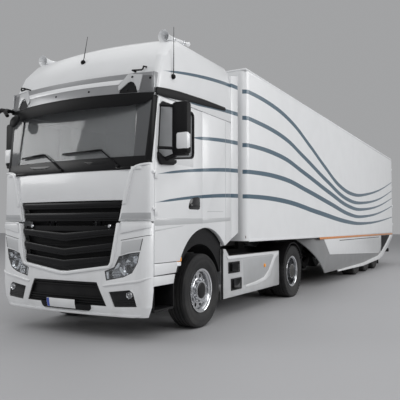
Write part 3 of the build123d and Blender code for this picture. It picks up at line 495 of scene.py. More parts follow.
def new_group(name: str, inputs: Sequence[tuple[str, float]], outputs: Sequence[str]) -> tuple[
        bpy.types.NodeTree, Nodes, bpy.types.Node, bpy.types.Node]:
    """Start a shader node group of values.

    Args:
        name: The group's name.
        inputs: Names and defaults of its inputs.
        outputs: Names of its outputs.

    Returns:
        The group, its short hand, its input node and its output node.
    """
    tree = bpy.data.node_groups.new(name, "ShaderNodeTree")
    for label, value in inputs:
        socket = tree.interface.new_socket(label, in_out="INPUT", socket_type="NodeSocketFloat")
        socket.default_value = value
    for label in outputs:
        tree.interface.new_socket(label, in_out="OUTPUT", socket_type="NodeSocketFloat")
    nodes = Nodes(tree)
    return tree, nodes, nodes.add("NodeGroupInput"), nodes.add("NodeGroupOutput")


def new_material(name: str) -> tuple[bpy.types.Material, Nodes, bpy.types.Node]:
    """Start a material.

    Args:
        name: The material's name.

    Returns:
        The material, its short hand and its shader.
    """
    material = bpy.data.materials.new(name)
    material.use_nodes = True
    return material, Nodes(material.node_tree), material.node_tree.nodes["Principled BSDF"]


@dataclass
class SurfaceGroups:
    """Node groups that several finishes share."""

    patch_scale: float = 2.3
    patch_range: Pair = (0.35, 0.7)
    cloud_scale: float = 6.0
    cloud_range: Pair = (0.3, 0.75)
    line_span: Pair = (-1.5, 15.0)
    line_height: float = 4.0
    line_run_in: float = 0.4
    line_widest: float = 0.1
    line_edge: float = 0.001
    flow_lines: tuple[tuple[Pair, ...], ...] = (
        ((-1.05, 3.325), (0.361, 3.545), (1.2, 3.606), (2.444, 3.608), (3.442, 3.5), (4.768, 3.152),
         (5.904, 2.802), (7.35, 2.421), (8.6, 2.3), (9.916, 2.346), (14.998, 3.114)),
        ((-0.35, 3.06), (1.112, 3.176), (1.313, 3.178), (3.098, 3.103), (4.283, 2.875), (6.059, 2.481),
         (8.0, 2.13), (9.631, 2.093), (14.964, 2.782)),
        ((-0.24, 2.6), (1.164, 2.715), (2.982, 2.714), (4.272, 2.536), (6.306, 2.207), (8.2, 1.94),
         (9.618, 1.899), (14.934, 2.491)),
        ((-1.173, 2.024), (0.054, 2.186), (1.179, 2.275), (3.134, 2.3), (4.46, 2.169), (6.295, 1.951),
         (8.3, 1.72), (9.604, 1.685), (14.902, 2.182)),
        ((-1.255, 1.67), (0.053, 1.813), (1.175, 1.876), (3.125, 1.878), (5.228, 1.719), (8.0, 1.52),
         (9.722, 1.484), (14.858, 1.759)))
    line_starts: tuple[float, ...] = (-1.05, -0.5, -0.4, -1.19, -1.24)
    line_widths: tuple[Pair, ...] = (
        (-1.5, 0.008), (1.4, 0.034), (4.5, 0.05), (7.0, 0.055), (10.0, 0.04), (15.0, 0.014))
    grain: bpy.types.NodeTree = field(init=False)
    film: bpy.types.NodeTree = field(init=False)
    lines: bpy.types.NodeTree = field(init=False)

    def __post_init__(self) -> None:
        """Build the groups."""
        self.grain = self.build_grain()
        self.film = self.build_film()
        self.lines = self.build_lines()

    def build_grain(self) -> bpy.types.NodeTree:
        """Build the fine relief and the broad patches of a surface."""
        tree, nodes, entry, leave = new_group("surface_grain", (("Scale", 200.0), ("Stretch", 1.0)),
                                              ("Height", "Patch"))
        place = nodes.add("ShaderNodeTexCoord").outputs["Object"]
        parts = nodes.add("ShaderNodeSeparateXYZ", {0: place})
        pulled = nodes.math("MULTIPLY", parts.outputs[1], entry.outputs["Stretch"])
        stretched = nodes.add("ShaderNodeCombineXYZ", {0: parts.outputs[0], 1: pulled, 2: parts.outputs[2]})
        fine = nodes.noise(stretched.outputs[0], entry.outputs["Scale"], 4.0)
        broad = nodes.noise(place, self.patch_scale, 5.0)
        nodes.feed(leave, {"Height": fine, "Patch": nodes.step(broad, *self.patch_range)})
        return tree

    def build_film(self) -> bpy.types.NodeTree:
        """Build the road film that thickens towards the ground."""
        tree, nodes, entry, leave = new_group("road_film", (("Top", 1.2), ("Strength", 0.3)), ("Mask",))
        place = nodes.add("ShaderNodeTexCoord").outputs["Object"]
        height = nodes.add("ShaderNodeSeparateXYZ", {0: place}).outputs[2]
        low = nodes.math("SUBTRACT", 1.0, nodes.math("DIVIDE", height, entry.outputs["Top"]), clamp=True)
        cloud = nodes.step(nodes.noise(place, self.cloud_scale, 6.0), *self.cloud_range)
        mask = nodes.math("MULTIPLY", nodes.math("MULTIPLY", low, cloud), entry.outputs["Strength"],
                          clamp=True)
        nodes.feed(leave, {"Mask": mask})
        return tree

    def curve(self, nodes: Nodes, share: bpy.types.NodeSocket, points: Sequence[Pair], top: float
              ) -> bpy.types.NodeSocket:
        """Follow a drawn curve.

        Args:
            nodes: The tree to add to.
            share: Way along the span, from nought to one.
            points: Stations and values.
            top: Value that the curve's top stands for.

        Returns:
            The value at that place.
        """
        start, end = self.line_span
        node = nodes.add("ShaderNodeFloatCurve", {"Value": share})
        line = node.mapping.curves[0]
        scaled = [((station - start) / (end - start), value / top) for station, value in points]
        line.points[0].location = scaled[0]
        line.points[1].location = scaled[-1]
        for location in scaled[1:-1]:
            line.points.new(*location)
        node.mapping.update()
        return nodes.math("MULTIPLY", node.outputs[0], top)

    def build_lines(self) -> bpy.types.NodeTree:
        """Build the five flowing lines along both sides."""
        tree, nodes, entry, leave = new_group("flow_lines", (("Depth", 1.2),), ("Mask",))
        place = nodes.add("ShaderNodeTexCoord")
        parts = nodes.add("ShaderNodeSeparateXYZ", {0: place.outputs["Object"]})
        facing = nodes.add("ShaderNodeSeparateXYZ", {0: place.outputs["Normal"]}).outputs[0]
        start, end = self.line_span
        station = nodes.math("SUBTRACT", parts.outputs[1], FRONT_AXLE_Y)
        share = nodes.math("DIVIDE", nodes.math("SUBTRACT", station, start), end - start)
        width = self.curve(nodes, share, self.line_widths, self.line_widest)
        total: object = 0.0
        for points, first in zip(self.flow_lines, self.line_starts):
            level = self.curve(nodes, share, points, self.line_height)
            away = nodes.math("ABSOLUTE", nodes.math("SUBTRACT", parts.outputs[2], level))
            swell = nodes.step(station, first, first + self.line_run_in)
            half = nodes.math("MULTIPLY", width, swell)
            inside = nodes.step(nodes.math("SUBTRACT", half, away), -self.line_edge, self.line_edge)
            begun = nodes.math("GREATER_THAN", swell, 0.01)
            total = nodes.math("MAXIMUM", total, nodes.math("MULTIPLY", inside, begun))
        outside = nodes.math("GREATER_THAN", nodes.math("ABSOLUTE", parts.outputs[0]), entry.outputs["Depth"])
        outward = nodes.math("GREATER_THAN", nodes.math("MULTIPLY", parts.outputs[0], facing), 0.0)
        total = nodes.math("MULTIPLY", total, outward)
        nodes.feed(leave, {"Mask": nodes.math("MULTIPLY", total, outside)})
        return tree


@dataclass(frozen=True)
class Finish:
    """One opaque finish: colour, gloss, relief and the road film on it."""

    name: str
    slot: str
    color: tuple[float, float, float]
    rough: float
    metal: float = 0.0
    coat: float = 0.0
    scale: float = 300.0
    stretch: float = 1.0
    relief: float = 0.1
    patch: float = 0.08
    film_top: float = 1.4
    film: float = 0.25
    lines: bool = False
    glow: float = 0.0
    gloss: float = 0.5

    def build(self, groups: SurfaceGroups) -> bpy.types.Material:
        """Build the material.

        Args:
            groups: The shared node groups.

        Returns:
            The material.
        """
        material, nodes, shader = new_material(self.name)
        grain = nodes.add("ShaderNodeGroup", {"Scale": self.scale, "Stretch": self.stretch},
                          node_tree=groups.grain)
        film = nodes.add("ShaderNodeGroup", {"Top": self.film_top, "Strength": self.film},
                         node_tree=groups.film)
        height, cover = grain.outputs["Height"], film.outputs["Mask"]
        shade = (*(value * (1 - self.patch) for value in self.color), 1.0)
        color = nodes.mix(grain.outputs["Patch"], (*self.color, 1.0), shade)
        if self.lines:
            flow = nodes.add("ShaderNodeGroup", node_tree=groups.lines)
            color = nodes.mix(flow.outputs["Mask"], color, FLOW_BLUE)
        color = nodes.mix(cover, color, FILM_SHADE)
        own_rough = nodes.math("MULTIPLY_ADD", height, ROUGH_SPREAD * self.rough, ROUGH_LEAST * self.rough)
        rough = nodes.math("ADD", nodes.math("MULTIPLY", cover, FILM_ROUGH), own_rough, clamp=True)
        bump = nodes.add("ShaderNodeBump", {"Strength": self.relief, "Distance": BUMP_DEPTH,
                                            "Height": height})
        nodes.feed(shader, {"Base Color": color, "Roughness": rough, "Normal": bump.outputs["Normal"],
                            "Metallic": self.metal, "Specular IOR Level": self.gloss,
                            "Coat Weight": self.coat, "Coat Roughness": COAT_ROUGH})
        if self.glow:
            nodes.feed(shader, {"Emission Color": color, "Emission Strength": self.glow})
        return material


@dataclass(frozen=True)
class Glazing:
    """One clear or tinted glass with a light film on it."""

    name: str
    slot: str
    tint: tuple[float, float, float]
    clear: float
    rough: float = 0.03

    def build(self, groups: SurfaceGroups) -> bpy.types.Material:
        """Build the material.

        Args:
            groups: The shared node groups.

        Returns:
            The material.
        """
        material, nodes, shader = new_material(self.name)
        grain = nodes.add("ShaderNodeGroup", {"Scale": GLASS_GRAIN}, node_tree=groups.grain)
        patch = grain.outputs["Patch"]
        shade = (*(value * GLASS_SHADE for value in self.tint), 1.0)
        nodes.feed(shader, {"Base Color": nodes.mix(patch, (*self.tint, 1.0), shade),
                            "Roughness": nodes.math("MULTIPLY_ADD", patch, GLASS_HAZE, self.rough),
                            "IOR": GLASS_IOR, "Transmission Weight": self.clear})
        return material


WHITE = Finish("gloss_white_paint", "white_paint", (0.83, 0.84, 0.85), 0.28, coat=0.6, scale=90,
               relief=0.03, patch=0.03, film=0.22, film_top=1.1)
LINED = Finish("lined_white_paint", "white_paint", (0.83, 0.84, 0.85), 0.3, coat=0.5, scale=90, relief=0.03,
               patch=0.03, film=0.2, film_top=1.1, lines=True)
ROOF = Finish("matt_white_roof", "white_paint", (0.78, 0.79, 0.8), 0.6, scale=70, relief=0.08, patch=0.06,
              film=0.0, gloss=0.3)
# Grey paint for the seams and the fairing field, and also painted shade at the foot of the corner guides.
GREY_PAINT_AND_SHADE = Finish("pale_grey_paint", "white_paint", (0.45, 0.46, 0.47), 0.35, coat=0.4, scale=90,
                   relief=0.03)
BLACK = Finish("grained_black_moulding", "black_plastic", (0.007, 0.007, 0.008), 0.5, scale=420,
               relief=0.25, patch=0.3, film=0.03, gloss=0.22)
GLOSS_BLACK = Finish("gloss_black_moulding", "black_plastic", (0.005, 0.005, 0.006), 0.14, coat=0.3,
                     scale=120, relief=0.03, patch=0.2, film=0.02, gloss=0.3)
RUBBER = Finish("tyre_rubber_black", "tyre_rubber", (0.017, 0.017, 0.018), 0.6, scale=260, relief=0.35,
                patch=0.35, film=0.08, film_top=1.3, gloss=0.35)
SEAL = Finish("rubber_seal", "black_plastic", (0.006, 0.006, 0.007), 0.5, scale=350, relief=0.2, patch=0.2,
              film=0.02, gloss=0.2)
CHASSIS = Finish("chassis_grey_paint", "chassis_paint", (0.022, 0.023, 0.025), 0.5, scale=160, relief=0.2,
                 patch=0.3, film=0.25, gloss=0.3)
CAST = Finish("dark_casting", "cast_iron", (0.06, 0.06, 0.062), 0.55, metal=0.6, scale=220, relief=0.5,
              patch=0.35, film=0.4)
TANK = Finish("brushed_tank", "tank_metal", (0.55, 0.56, 0.58), 0.35, metal=0.9, scale=500, stretch=0.05,
              relief=0.2)
BRIGHT = Finish("bright_trim", "rim_metal", (0.82, 0.83, 0.85), 0.12, metal=1.0, scale=150, relief=0.03,
                patch=0.05, film=0.1)
VISOR = Finish("silver_visor", "visor_grey", (0.33, 0.335, 0.345), 0.33, metal=0.35, coat=0.3, scale=140,
               relief=0.06, patch=0.08)
AMBER = Finish("amber_lens", "lamp_glass", (0.85, 0.32, 0.02), 0.2, coat=0.6, scale=240, relief=0.3,
               glow=0.15)
RED = Finish("red_lens", "lamp_glass", (0.5, 0.012, 0.01), 0.2, coat=0.6, scale=240, relief=0.3, glow=0.05)
# White lens that glows, also on the arch reflectors and the highlight cell in the headlamps, which are no
# lamps.
PEARL = Finish("white_lens", "lamp_glass", (0.85, 0.87, 0.9), 0.15, coat=0.6, scale=240, relief=0.3, glow=0.1)
BLUE = Finish("blue_band", "white_paint", (0.02, 0.07, 0.45), 0.35, scale=200, relief=0.05)
ORANGE = Finish("orange_line", "white_paint", (0.75, 0.27, 0.06), 0.35, coat=0.4, scale=120, relief=0.04,
                film=0.1)
FABRIC = Finish("grey_seat_cloth", "cab_lining", (0.14, 0.14, 0.15), 0.9, scale=700, relief=0.6, patch=0.25,
                film=0.0)
LINING = Finish("pale_cab_lining", "cab_lining", (0.42, 0.41, 0.39), 0.85, scale=600, relief=0.4,
                patch=0.15, film=0.0)
DASH = Finish("soft_dash_moulding", "dash_plastic", (0.05, 0.05, 0.055), 0.6, scale=500, relief=0.35,
              patch=0.2, film=0.0)
BOARD = Finish("brown_floor_board", "floor_board", (0.2, 0.13, 0.08), 0.6, scale=60, stretch=0.06,
               relief=0.5, patch=0.35, film=0.0)
PORTAL = Finish("pale_frame_paint", "portal_steel", (0.6, 0.61, 0.62), 0.35, coat=0.3, scale=120, relief=0.05)
SATIN = Finish("satin_black_moulding", "black_plastic", (0.007, 0.007, 0.008), 0.3, scale=260, relief=0.08,
               patch=0.2, film=0.02, gloss=0.25)
LAMP_CASE = Finish("lamp_case_metal", "lamp_glass", (0.3, 0.305, 0.315), 0.22, metal=0.9, scale=180,
                   relief=0.05, film=0.05)
# Dark grey painted on the visor's end caps as the shade of their sides.
VISOR_END_SHADE = Finish("dark_visor_end", "visor_grey", (0.17, 0.172, 0.178), 0.38, metal=0.3, scale=140,
                   relief=0.06)
SCREEN_EDGE = Finish("dark_screen_edge", "black_plastic", (0.095, 0.098, 0.102), 0.08, coat=0.6, scale=120,
                     relief=0.02, film=0.0)
# Pale grey paint for the visor brackets and the fairings, and also painted shade on the lamp brows and the
# swage bands.
PALE_PAINT_AND_SHADE = Finish("shaded_white_paint", "white_paint", (0.56, 0.57, 0.58), 0.32, coat=0.5, scale=90,
              relief=0.03, patch=0.04)
# Dark grey painted on the white skirts as the shade of their inward-leaning lower part and front.
SKIRT_SHADE = Finish("skirt_grey_paint", "white_paint", (0.24, 0.245, 0.25), 0.38, coat=0.3, scale=110,
               relief=0.05, patch=0.1)
RIM = Finish("satin_rim", "rim_metal", (0.62, 0.63, 0.65), 0.25, metal=0.95, scale=180, relief=0.06,
             patch=0.1, film=0.15)
SCREEN = Glazing("windscreen_glass", "glazing", (0.6, 0.62, 0.63), 0.75)
SIDE_GLASS = Glazing("door_glass", "glazing", (0.36, 0.37, 0.38), 0.25)
LENS = Glazing("clear_lamp_cover", "lamp_glass", (0.93, 0.95, 0.97), 0.96)


class Workshop:
    """Keeps the frame and the finishes, and makes pieces of shapes."""

    def __init__(self, frame: dict, groups: SurfaceGroups) -> None:
        """Keep the frame and the shared groups."""
        self.nodes: dict[str, bpy.types.Object] = frame["nodes"]
        self.groups = groups
        self.built: dict[str, bpy.types.Material] = {}

    def material(self, finish: Finish | Glazing) -> bpy.types.Material:
        """Build a finish's material once.

        Args:
            finish: The finish.

        Returns:
            Its material.
        """
        if finish.name not in self.built:
            self.built[finish.name] = finish.build(self.groups)
        return self.built[finish.name]

    def piece(self, name: str, shape: Shape, finish: Finish | Glazing, body: str,
              replaces: Sequence[str] = (), smooth: float = 35.0) -> bpy.types.Object:
        """Make a piece of a shape.

        Args:
            name: The piece's name.
            shape: Its mesh in the making, which is freed.
            finish: Its finish.
            body: The body that it rides on.
            replaces: The nodes that it stands for.
            smooth: Angle in degrees under which edges are shaded smooth.

        Returns:
            The piece.
        """
        bmesh.ops.remove_doubles(shape.bm, verts=shape.bm.verts, dist=PIECE_WELD)
        bmesh.ops.recalc_face_normals(shape.bm, faces=shape.bm.faces)
        mesh = bpy.data.meshes.new(name)
        shape.bm.to_mesh(mesh)
        shape.bm.free()
        mesh.shade_smooth()
        mesh.set_sharp_from_angle(angle=math.radians(smooth))
        mesh.materials.append(self.material(finish))
        made = bpy.data.objects.new(name, mesh)
        bpy.context.scene.collection.objects.link(made)
        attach(made, body)
        if replaces:
            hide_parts(*replaces)
        LOG.info("%s on %s, %d faces", name, body, len(mesh.polygons))
        return made

    def softened(self, name: str, node: str, finish: Finish | Glazing, body: str, width: float = 0.006,
                 angle: float = 35.0, segments: int = 2) -> None:
        """Make a piece that is a node with its sharp edges rounded, in the node's place.

        Args:
            name: The piece's name.
            node: The node that it stands for.
            finish: Its finish.
            body: The body that it rides on.
            width: Width of the rounding.
            angle: Angle in degrees over which an edge is rounded.
            segments: Strips that the rounding is made of.
        """
        shape = Shape()
        shape.bm.from_mesh(self.nodes[node].data)
        bmesh.ops.remove_doubles(shape.bm, verts=shape.bm.verts, dist=NODE_WELD)
        bmesh.ops.dissolve_limit(shape.bm, angle_limit=FLAT_ANGLE, verts=shape.bm.verts, edges=shape.bm.edges,
                                 use_dissolve_boundaries=False)
        sharp = [edge for edge in shape.bm.edges
                 if len(edge.link_faces) == 2 and edge.calc_face_angle(0.0) > math.radians(angle)]
        shape.bevel(sharp, width, segments)
        self.piece(name, shape, finish, body, (node,), smooth=SOFT_ANGLE)

    def dress(self, finish: Finish | Glazing, *nodes: str) -> None:
        """Give nodes that stay a finish.

        Args:
            finish: The finish.
            nodes: The nodes' names.
        """
        for node in nodes:
            mesh = self.nodes[node].data
            mesh.materials.clear()
            mesh.materials.append(self.material(finish))

    def on_face(self, name: str, plates: Sequence[Plate], face: NoseFace, finish: Finish | Glazing,
                both: bool = True) -> None:
        """Make a piece of plates that are bent onto the nose.

        Args:
            name: The piece's name.
            plates: Outline in x and z, set-back, thickness and edge rounding of each plate.
            face: The face that they lie on.
            finish: Their finish.
            both: Whether the other half is added.
        """
        shape = Shape()
        for plate in plates:
            (shape.nose_plate if both else shape.front_plate)(*plate)
        self.piece(name, face.wrap(shape), finish, face.body)

    def on_side(self, name: str, plates: Sequence[Plate], finish: Finish, body: str, sign: int) -> None:
        """Make a piece of upright plates along one side.

        Args:
            name: The piece's name.
            plates: Outline in stations and heights, inner x, thickness and edge rounding of each plate.
            finish: Their finish.
            body: The body that they ride on.
            sign: Which side, positive for the left.
        """
        shape = Shape()
        for plate in plates:
            shape.side_plate(*plate)
        self.piece(name, shape.flipped(sign), finish, body)


@dataclass
class Stage:
    """Plain studio round the lorry: floor, lamps, sky and the camera at the photograph's place."""

    eye: Row = (4.8347, -13.2658, 1.3889)
    yaw: float = 29.342
    pitch: float = 2.877
    focal: float = 531.11
    frame_width: float = 400.0
    sensor: float = 36.0
    view_depth: float = 400.0
    floor_size: float = 90.0
    floor_shade: Row = (0.46, 0.46, 0.47)
    floor_patch: float = 0.97
    floor_grain: float = 0.4
    floor_rough: float = 0.6
    sky_shade: Row = (0.6, 0.605, 0.615)
    sky_power: float = 0.6
    lamps: tuple[tuple[str, Row, Row, Pair, float], ...] = (
        ("key", (11.0, -19.0, 14.0), (0.0, -6.0, 2.6), (17.0, 12.0), 1150.0),
        ("front", (-10.5, -14.5, 7.0), (0.0, -8.0, 2.4), (6.5, 5.5), 340.0),
        ("flank", (20.0, 4.0, 9.0), (0.0, 2.0, 2.0), (20.0, 8.0), 1750.0),
        ("top", (0.0, -1.0, 16.0), (0.0, -1.0, 0.0), (30.0, 20.0), 1000.0))

    def build(self) -> None:
        """Build the studio."""
        bpy.context.scene.view_settings.view_transform = "Standard"
        self.floor()
        self.sky()
        for name, place, aim, size, power in self.lamps:
            self.lamp(name, place, aim, size, power)
        self.camera()

    def floor(self) -> None:
        """Lay the pale floor."""
        shape = Shape()
        bmesh.ops.create_grid(shape.bm, x_segments=1, y_segments=1, size=self.floor_size)
        mesh = bpy.data.meshes.new("studio_floor")
        shape.bm.to_mesh(mesh)
        shape.bm.free()
        material, nodes, shader = new_material("studio_floor_paint")
        place = nodes.add("ShaderNodeTexCoord").outputs["Object"]
        low = (*(value * self.floor_patch for value in self.floor_shade), 1.0)
        color = nodes.mix(nodes.noise(place, self.floor_grain), (*self.floor_shade, 1.0), low)
        nodes.feed(shader, {"Base Color": color, "Roughness": self.floor_rough})
        mesh.materials.append(material)
        made = bpy.data.objects.new("studio_floor", mesh)
        bpy.context.scene.collection.objects.link(made)

    def sky(self) -> None:
        """Set the plain pale surroundings."""
        world = bpy.data.worlds.new("studio_sky")
        world.use_nodes = True
        back = world.node_tree.nodes["Background"]
        back.inputs["Color"].default_value = (*self.sky_shade, 1.0)
        back.inputs["Strength"].default_value = self.sky_power
        bpy.context.scene.world = world

    def lamp(self, name: str, place: Row, aim: Row, size: Pair, power: float) -> None:
        """Hang one soft lamp.

        Args:
            name: The lamp's name.
            place: Where it hangs.
            aim: The point that it looks at.
            size: Width and height of its face.
            power: Its power in watts.
        """
        light = bpy.data.lights.new(name, "AREA")
        light.shape = "RECTANGLE"
        light.size, light.size_y = size
        light.energy = power
        made = bpy.data.objects.new(name, light)
        turn = (Vector(aim) - Vector(place)).to_track_quat("-Z", "Y").to_matrix().to_4x4()
        made.matrix_world = Matrix.Translation(place) @ turn
        bpy.context.scene.collection.objects.link(made)

    def camera(self) -> None:
        """Set up the camera."""
        lens = bpy.data.cameras.new("camera")
        lens.sensor_width = self.sensor
        lens.lens = self.focal * self.sensor / self.frame_width
        lens.clip_end = self.view_depth
        yaw, pitch = math.radians(self.yaw), math.radians(self.pitch)
        look = Vector((-math.sin(yaw) * math.cos(pitch), math.cos(yaw) * math.cos(pitch), math.sin(pitch)))
        made = bpy.data.objects.new("camera", lens)
        made.matrix_world = Matrix.Translation(self.eye) @ look.to_track_quat("-Z", "Y").to_matrix().to_4x4()
        bpy.context.scene.collection.objects.link(made)
        bpy.context.scene.camera = made


@dataclass
class Bumper:
    """Bumper skin with its lips, number plate, intake and fog lamps."""

    shop: Workshop
    plate_span: Pair = (-0.272, 0.204)
    plate_heights: Pair = (0.368, 0.482)
    band_width: float = 0.045
    band_edge: float = 0.004
    intake_bars: Row = (0.455, 0.487, 0.519, 0.66, 0.69)
    intake_bar: float = 0.007
    intake_top: Pair = (0.53, 0.71)
    intake_lean: float = 0.47
    fog_lamp: Pair = (0.985, 0.572)
    fog_recess: float = 0.012
    fog_bars: Row = (0.455, 0.478, 0.501)

    def build(self) -> None:
        """Build and dress the bumper."""
        self.skin()
        self.number_plate()
        self.intake()
        self.fog_lamps()

    def skin(self) -> None:
        """Build the painted skin, its lips and the panel over each headlamp, painted pale grey as shade."""
        self.shop.softened("bumper_skin", "bumper", WHITE, "tractor", 0.01)
        lip = ((0.0, 0.302), (1.02, 0.302), (1.1, 0.316), (1.12, 0.335), (0.0, 0.335))
        ledge = ((0.63, 0.662), (1.14, 0.738), (1.241, 0.778), (1.241, 0.8), (1.13, 0.763), (0.62, 0.685))
        shoulder = ((0.87, 1.305), (1.241, 1.374), (1.241, 1.431), (0.885, 1.431))
        filler = ((0.978, 0.645), (1.035, 0.645), (1.125, 0.438), (1.08, 0.436), (1.038, 0.597))
        cap = ((0.868, 1.426), (1.238, 1.426), (1.238, 1.451), (0.872, 1.451))
        self.shop.on_face("bumper_lips", ((lip, -0.014, 0.02, 0.007), (ledge, -0.016, 0.02, 0.008),
                                          (shoulder, -0.02, 0.026, 0.015), (cap, -0.016, 0.026, 0.007),
                                          (filler, 0.0, 0.02, 0.003)),
                          BUMPER_FACE, WHITE)
        surround = ((0.0, 0.826), (0.06, 0.83), (0.7, 0.919), (0.728, 0.958), (0.818, 1.436), (0.86, 1.436),
                    (0.772, 0.95), (0.725, 0.884), (0.07, 0.79), (0.0, 0.785))
        self.shop.on_face("grille_surround", ((surround, -0.02, 0.028, 0.011),), BUMPER_FACE, WHITE)
        # The brow over each lamp is painted pale grey as the shade of its recessed face.
        brow = ((0.868, 1.05), (0.98, 1.083), (1.125, 1.106), (1.158, 1.247), (0.885, 1.208))
        self.shop.on_face("lamp_brows", ((brow, -0.002, 0.006, 0.002),), BUMPER_FACE, PALE_PAINT_AND_SHADE)
        seam = ((0.872, 1.222), (1.241, 1.286), (1.241, 1.292), (0.872, 1.228))
        joint = ((1.125, 1.106), (1.132, 1.106), (1.166, 1.248), (1.158, 1.247))
        self.shop.on_face("bumper_seams", ((seam, -0.0015, 0.004, 0.0), (joint, -0.0025, 0.004, 0.0)),
                          BUMPER_FACE, SEAL)

    def number_plate(self) -> None:
        """Build the blank plate on its holder."""
        holder = (
            (-0.39, 0.438), (-0.375, 0.375), (-0.345, 0.352), (0.4, 0.352), (0.43, 0.375), (0.44, 0.425))
        self.shop.on_face("plate_holder", ((holder, -0.018, 0.03, 0.006),), BUMPER_FACE, BLACK, both=False)
        (start, end), (low, high) = self.plate_span, self.plate_heights
        blank = ((start, low), (end, low), (end, high), (start, high))
        self.shop.on_face("number_plate", ((blank, -0.023, 0.005, 0.002),), BUMPER_FACE, WHITE, both=False)
        first, last = start + self.band_edge, start + self.band_width
        low, high = low + self.band_edge, high - self.band_edge
        band = ((first, low), (last, low), (last, high), (first, high))
        self.shop.on_face("plate_band", ((band, -0.0242, 0.0015, 0.0),), BUMPER_FACE, BLUE, both=False)

    def intake(self) -> None:
        """Build the air intake with its bars."""
        shape = Shape()
        shape.nose_plate(((0.0, 0.7), (0.5, 0.7), (0.545, 0.67), (0.645, 0.432), (0.0, 0.432)), 0.036, 0.006)
        shape.nose_plate(((0.47, 0.7095), (0.529, 0.7095), (0.664, 0.426), (0.638, 0.426), (0.535, 0.655),
                          (0.5, 0.686)), 0.006, 0.1, 0.003)
        shape.nose_plate(((0.0, 0.686), (0.5, 0.686), (0.48, 0.7095), (0.0, 0.7095)), 0.006, 0.1)
        shape.nose_plate(((0.0, 0.426), (0.66, 0.426), (0.655, 0.438), (0.0, 0.438)), 0.006, 0.1)
        for z in self.intake_bars:
            reach = self.intake_top[0] + (self.intake_top[1] - z) * self.intake_lean - 0.02
            low, high = z - self.intake_bar, z + self.intake_bar
            shape.nose_plate(((0.0, low), (reach, low), (reach, high), (0.0, high)), 0.014, 0.05, 0.003)
        self.shop.piece("intake", BUMPER_FACE.wrap(shape), BLACK, "tractor", ("lower_grille",))

    def fog_lamps(self) -> None:
        """Build the fog lamp inserts and their lamps."""
        panel = ((0.703, 0.598), (0.72, 0.606), (1.02, 0.636), (1.05, 0.625), (1.075, 0.56), (1.117, 0.443),
                 (0.772, 0.423))
        plates = [(panel, 0.012, 0.02, 0.004)]
        for z in self.fog_bars:
            plates.append((((0.775, z - 0.006), (1.09, z + 0.006), (1.087, z + 0.016), (0.775, z + 0.004)),
                           0.006, 0.01, 0.002))
        self.shop.on_face("fog_inserts", plates, BUMPER_FACE, GLOSS_BLACK)
        x, z = self.fog_lamp
        rings, lenses = Shape(), Shape()
        for sign in SIGNS:
            centre = BUMPER_FACE.spot(sign * x, z, self.fog_recess)
            rings.lathe(((-0.005, 0.043), (0.012, 0.042), (0.016, 0.039), (0.006, 0.034), (-0.004, 0.027)),
                        centre, FORWARD, 32)
            lenses.lathe(((0.013, 0.0), (0.012, 0.013), (0.007, 0.025), (0.0, 0.034)), centre, FORWARD, 32)
        self.shop.piece("fog_lamp_rings", rings, BRIGHT, "tractor")
        self.shop.piece("fog_lamp_lenses", lenses, LAMP_CASE, "tractor")


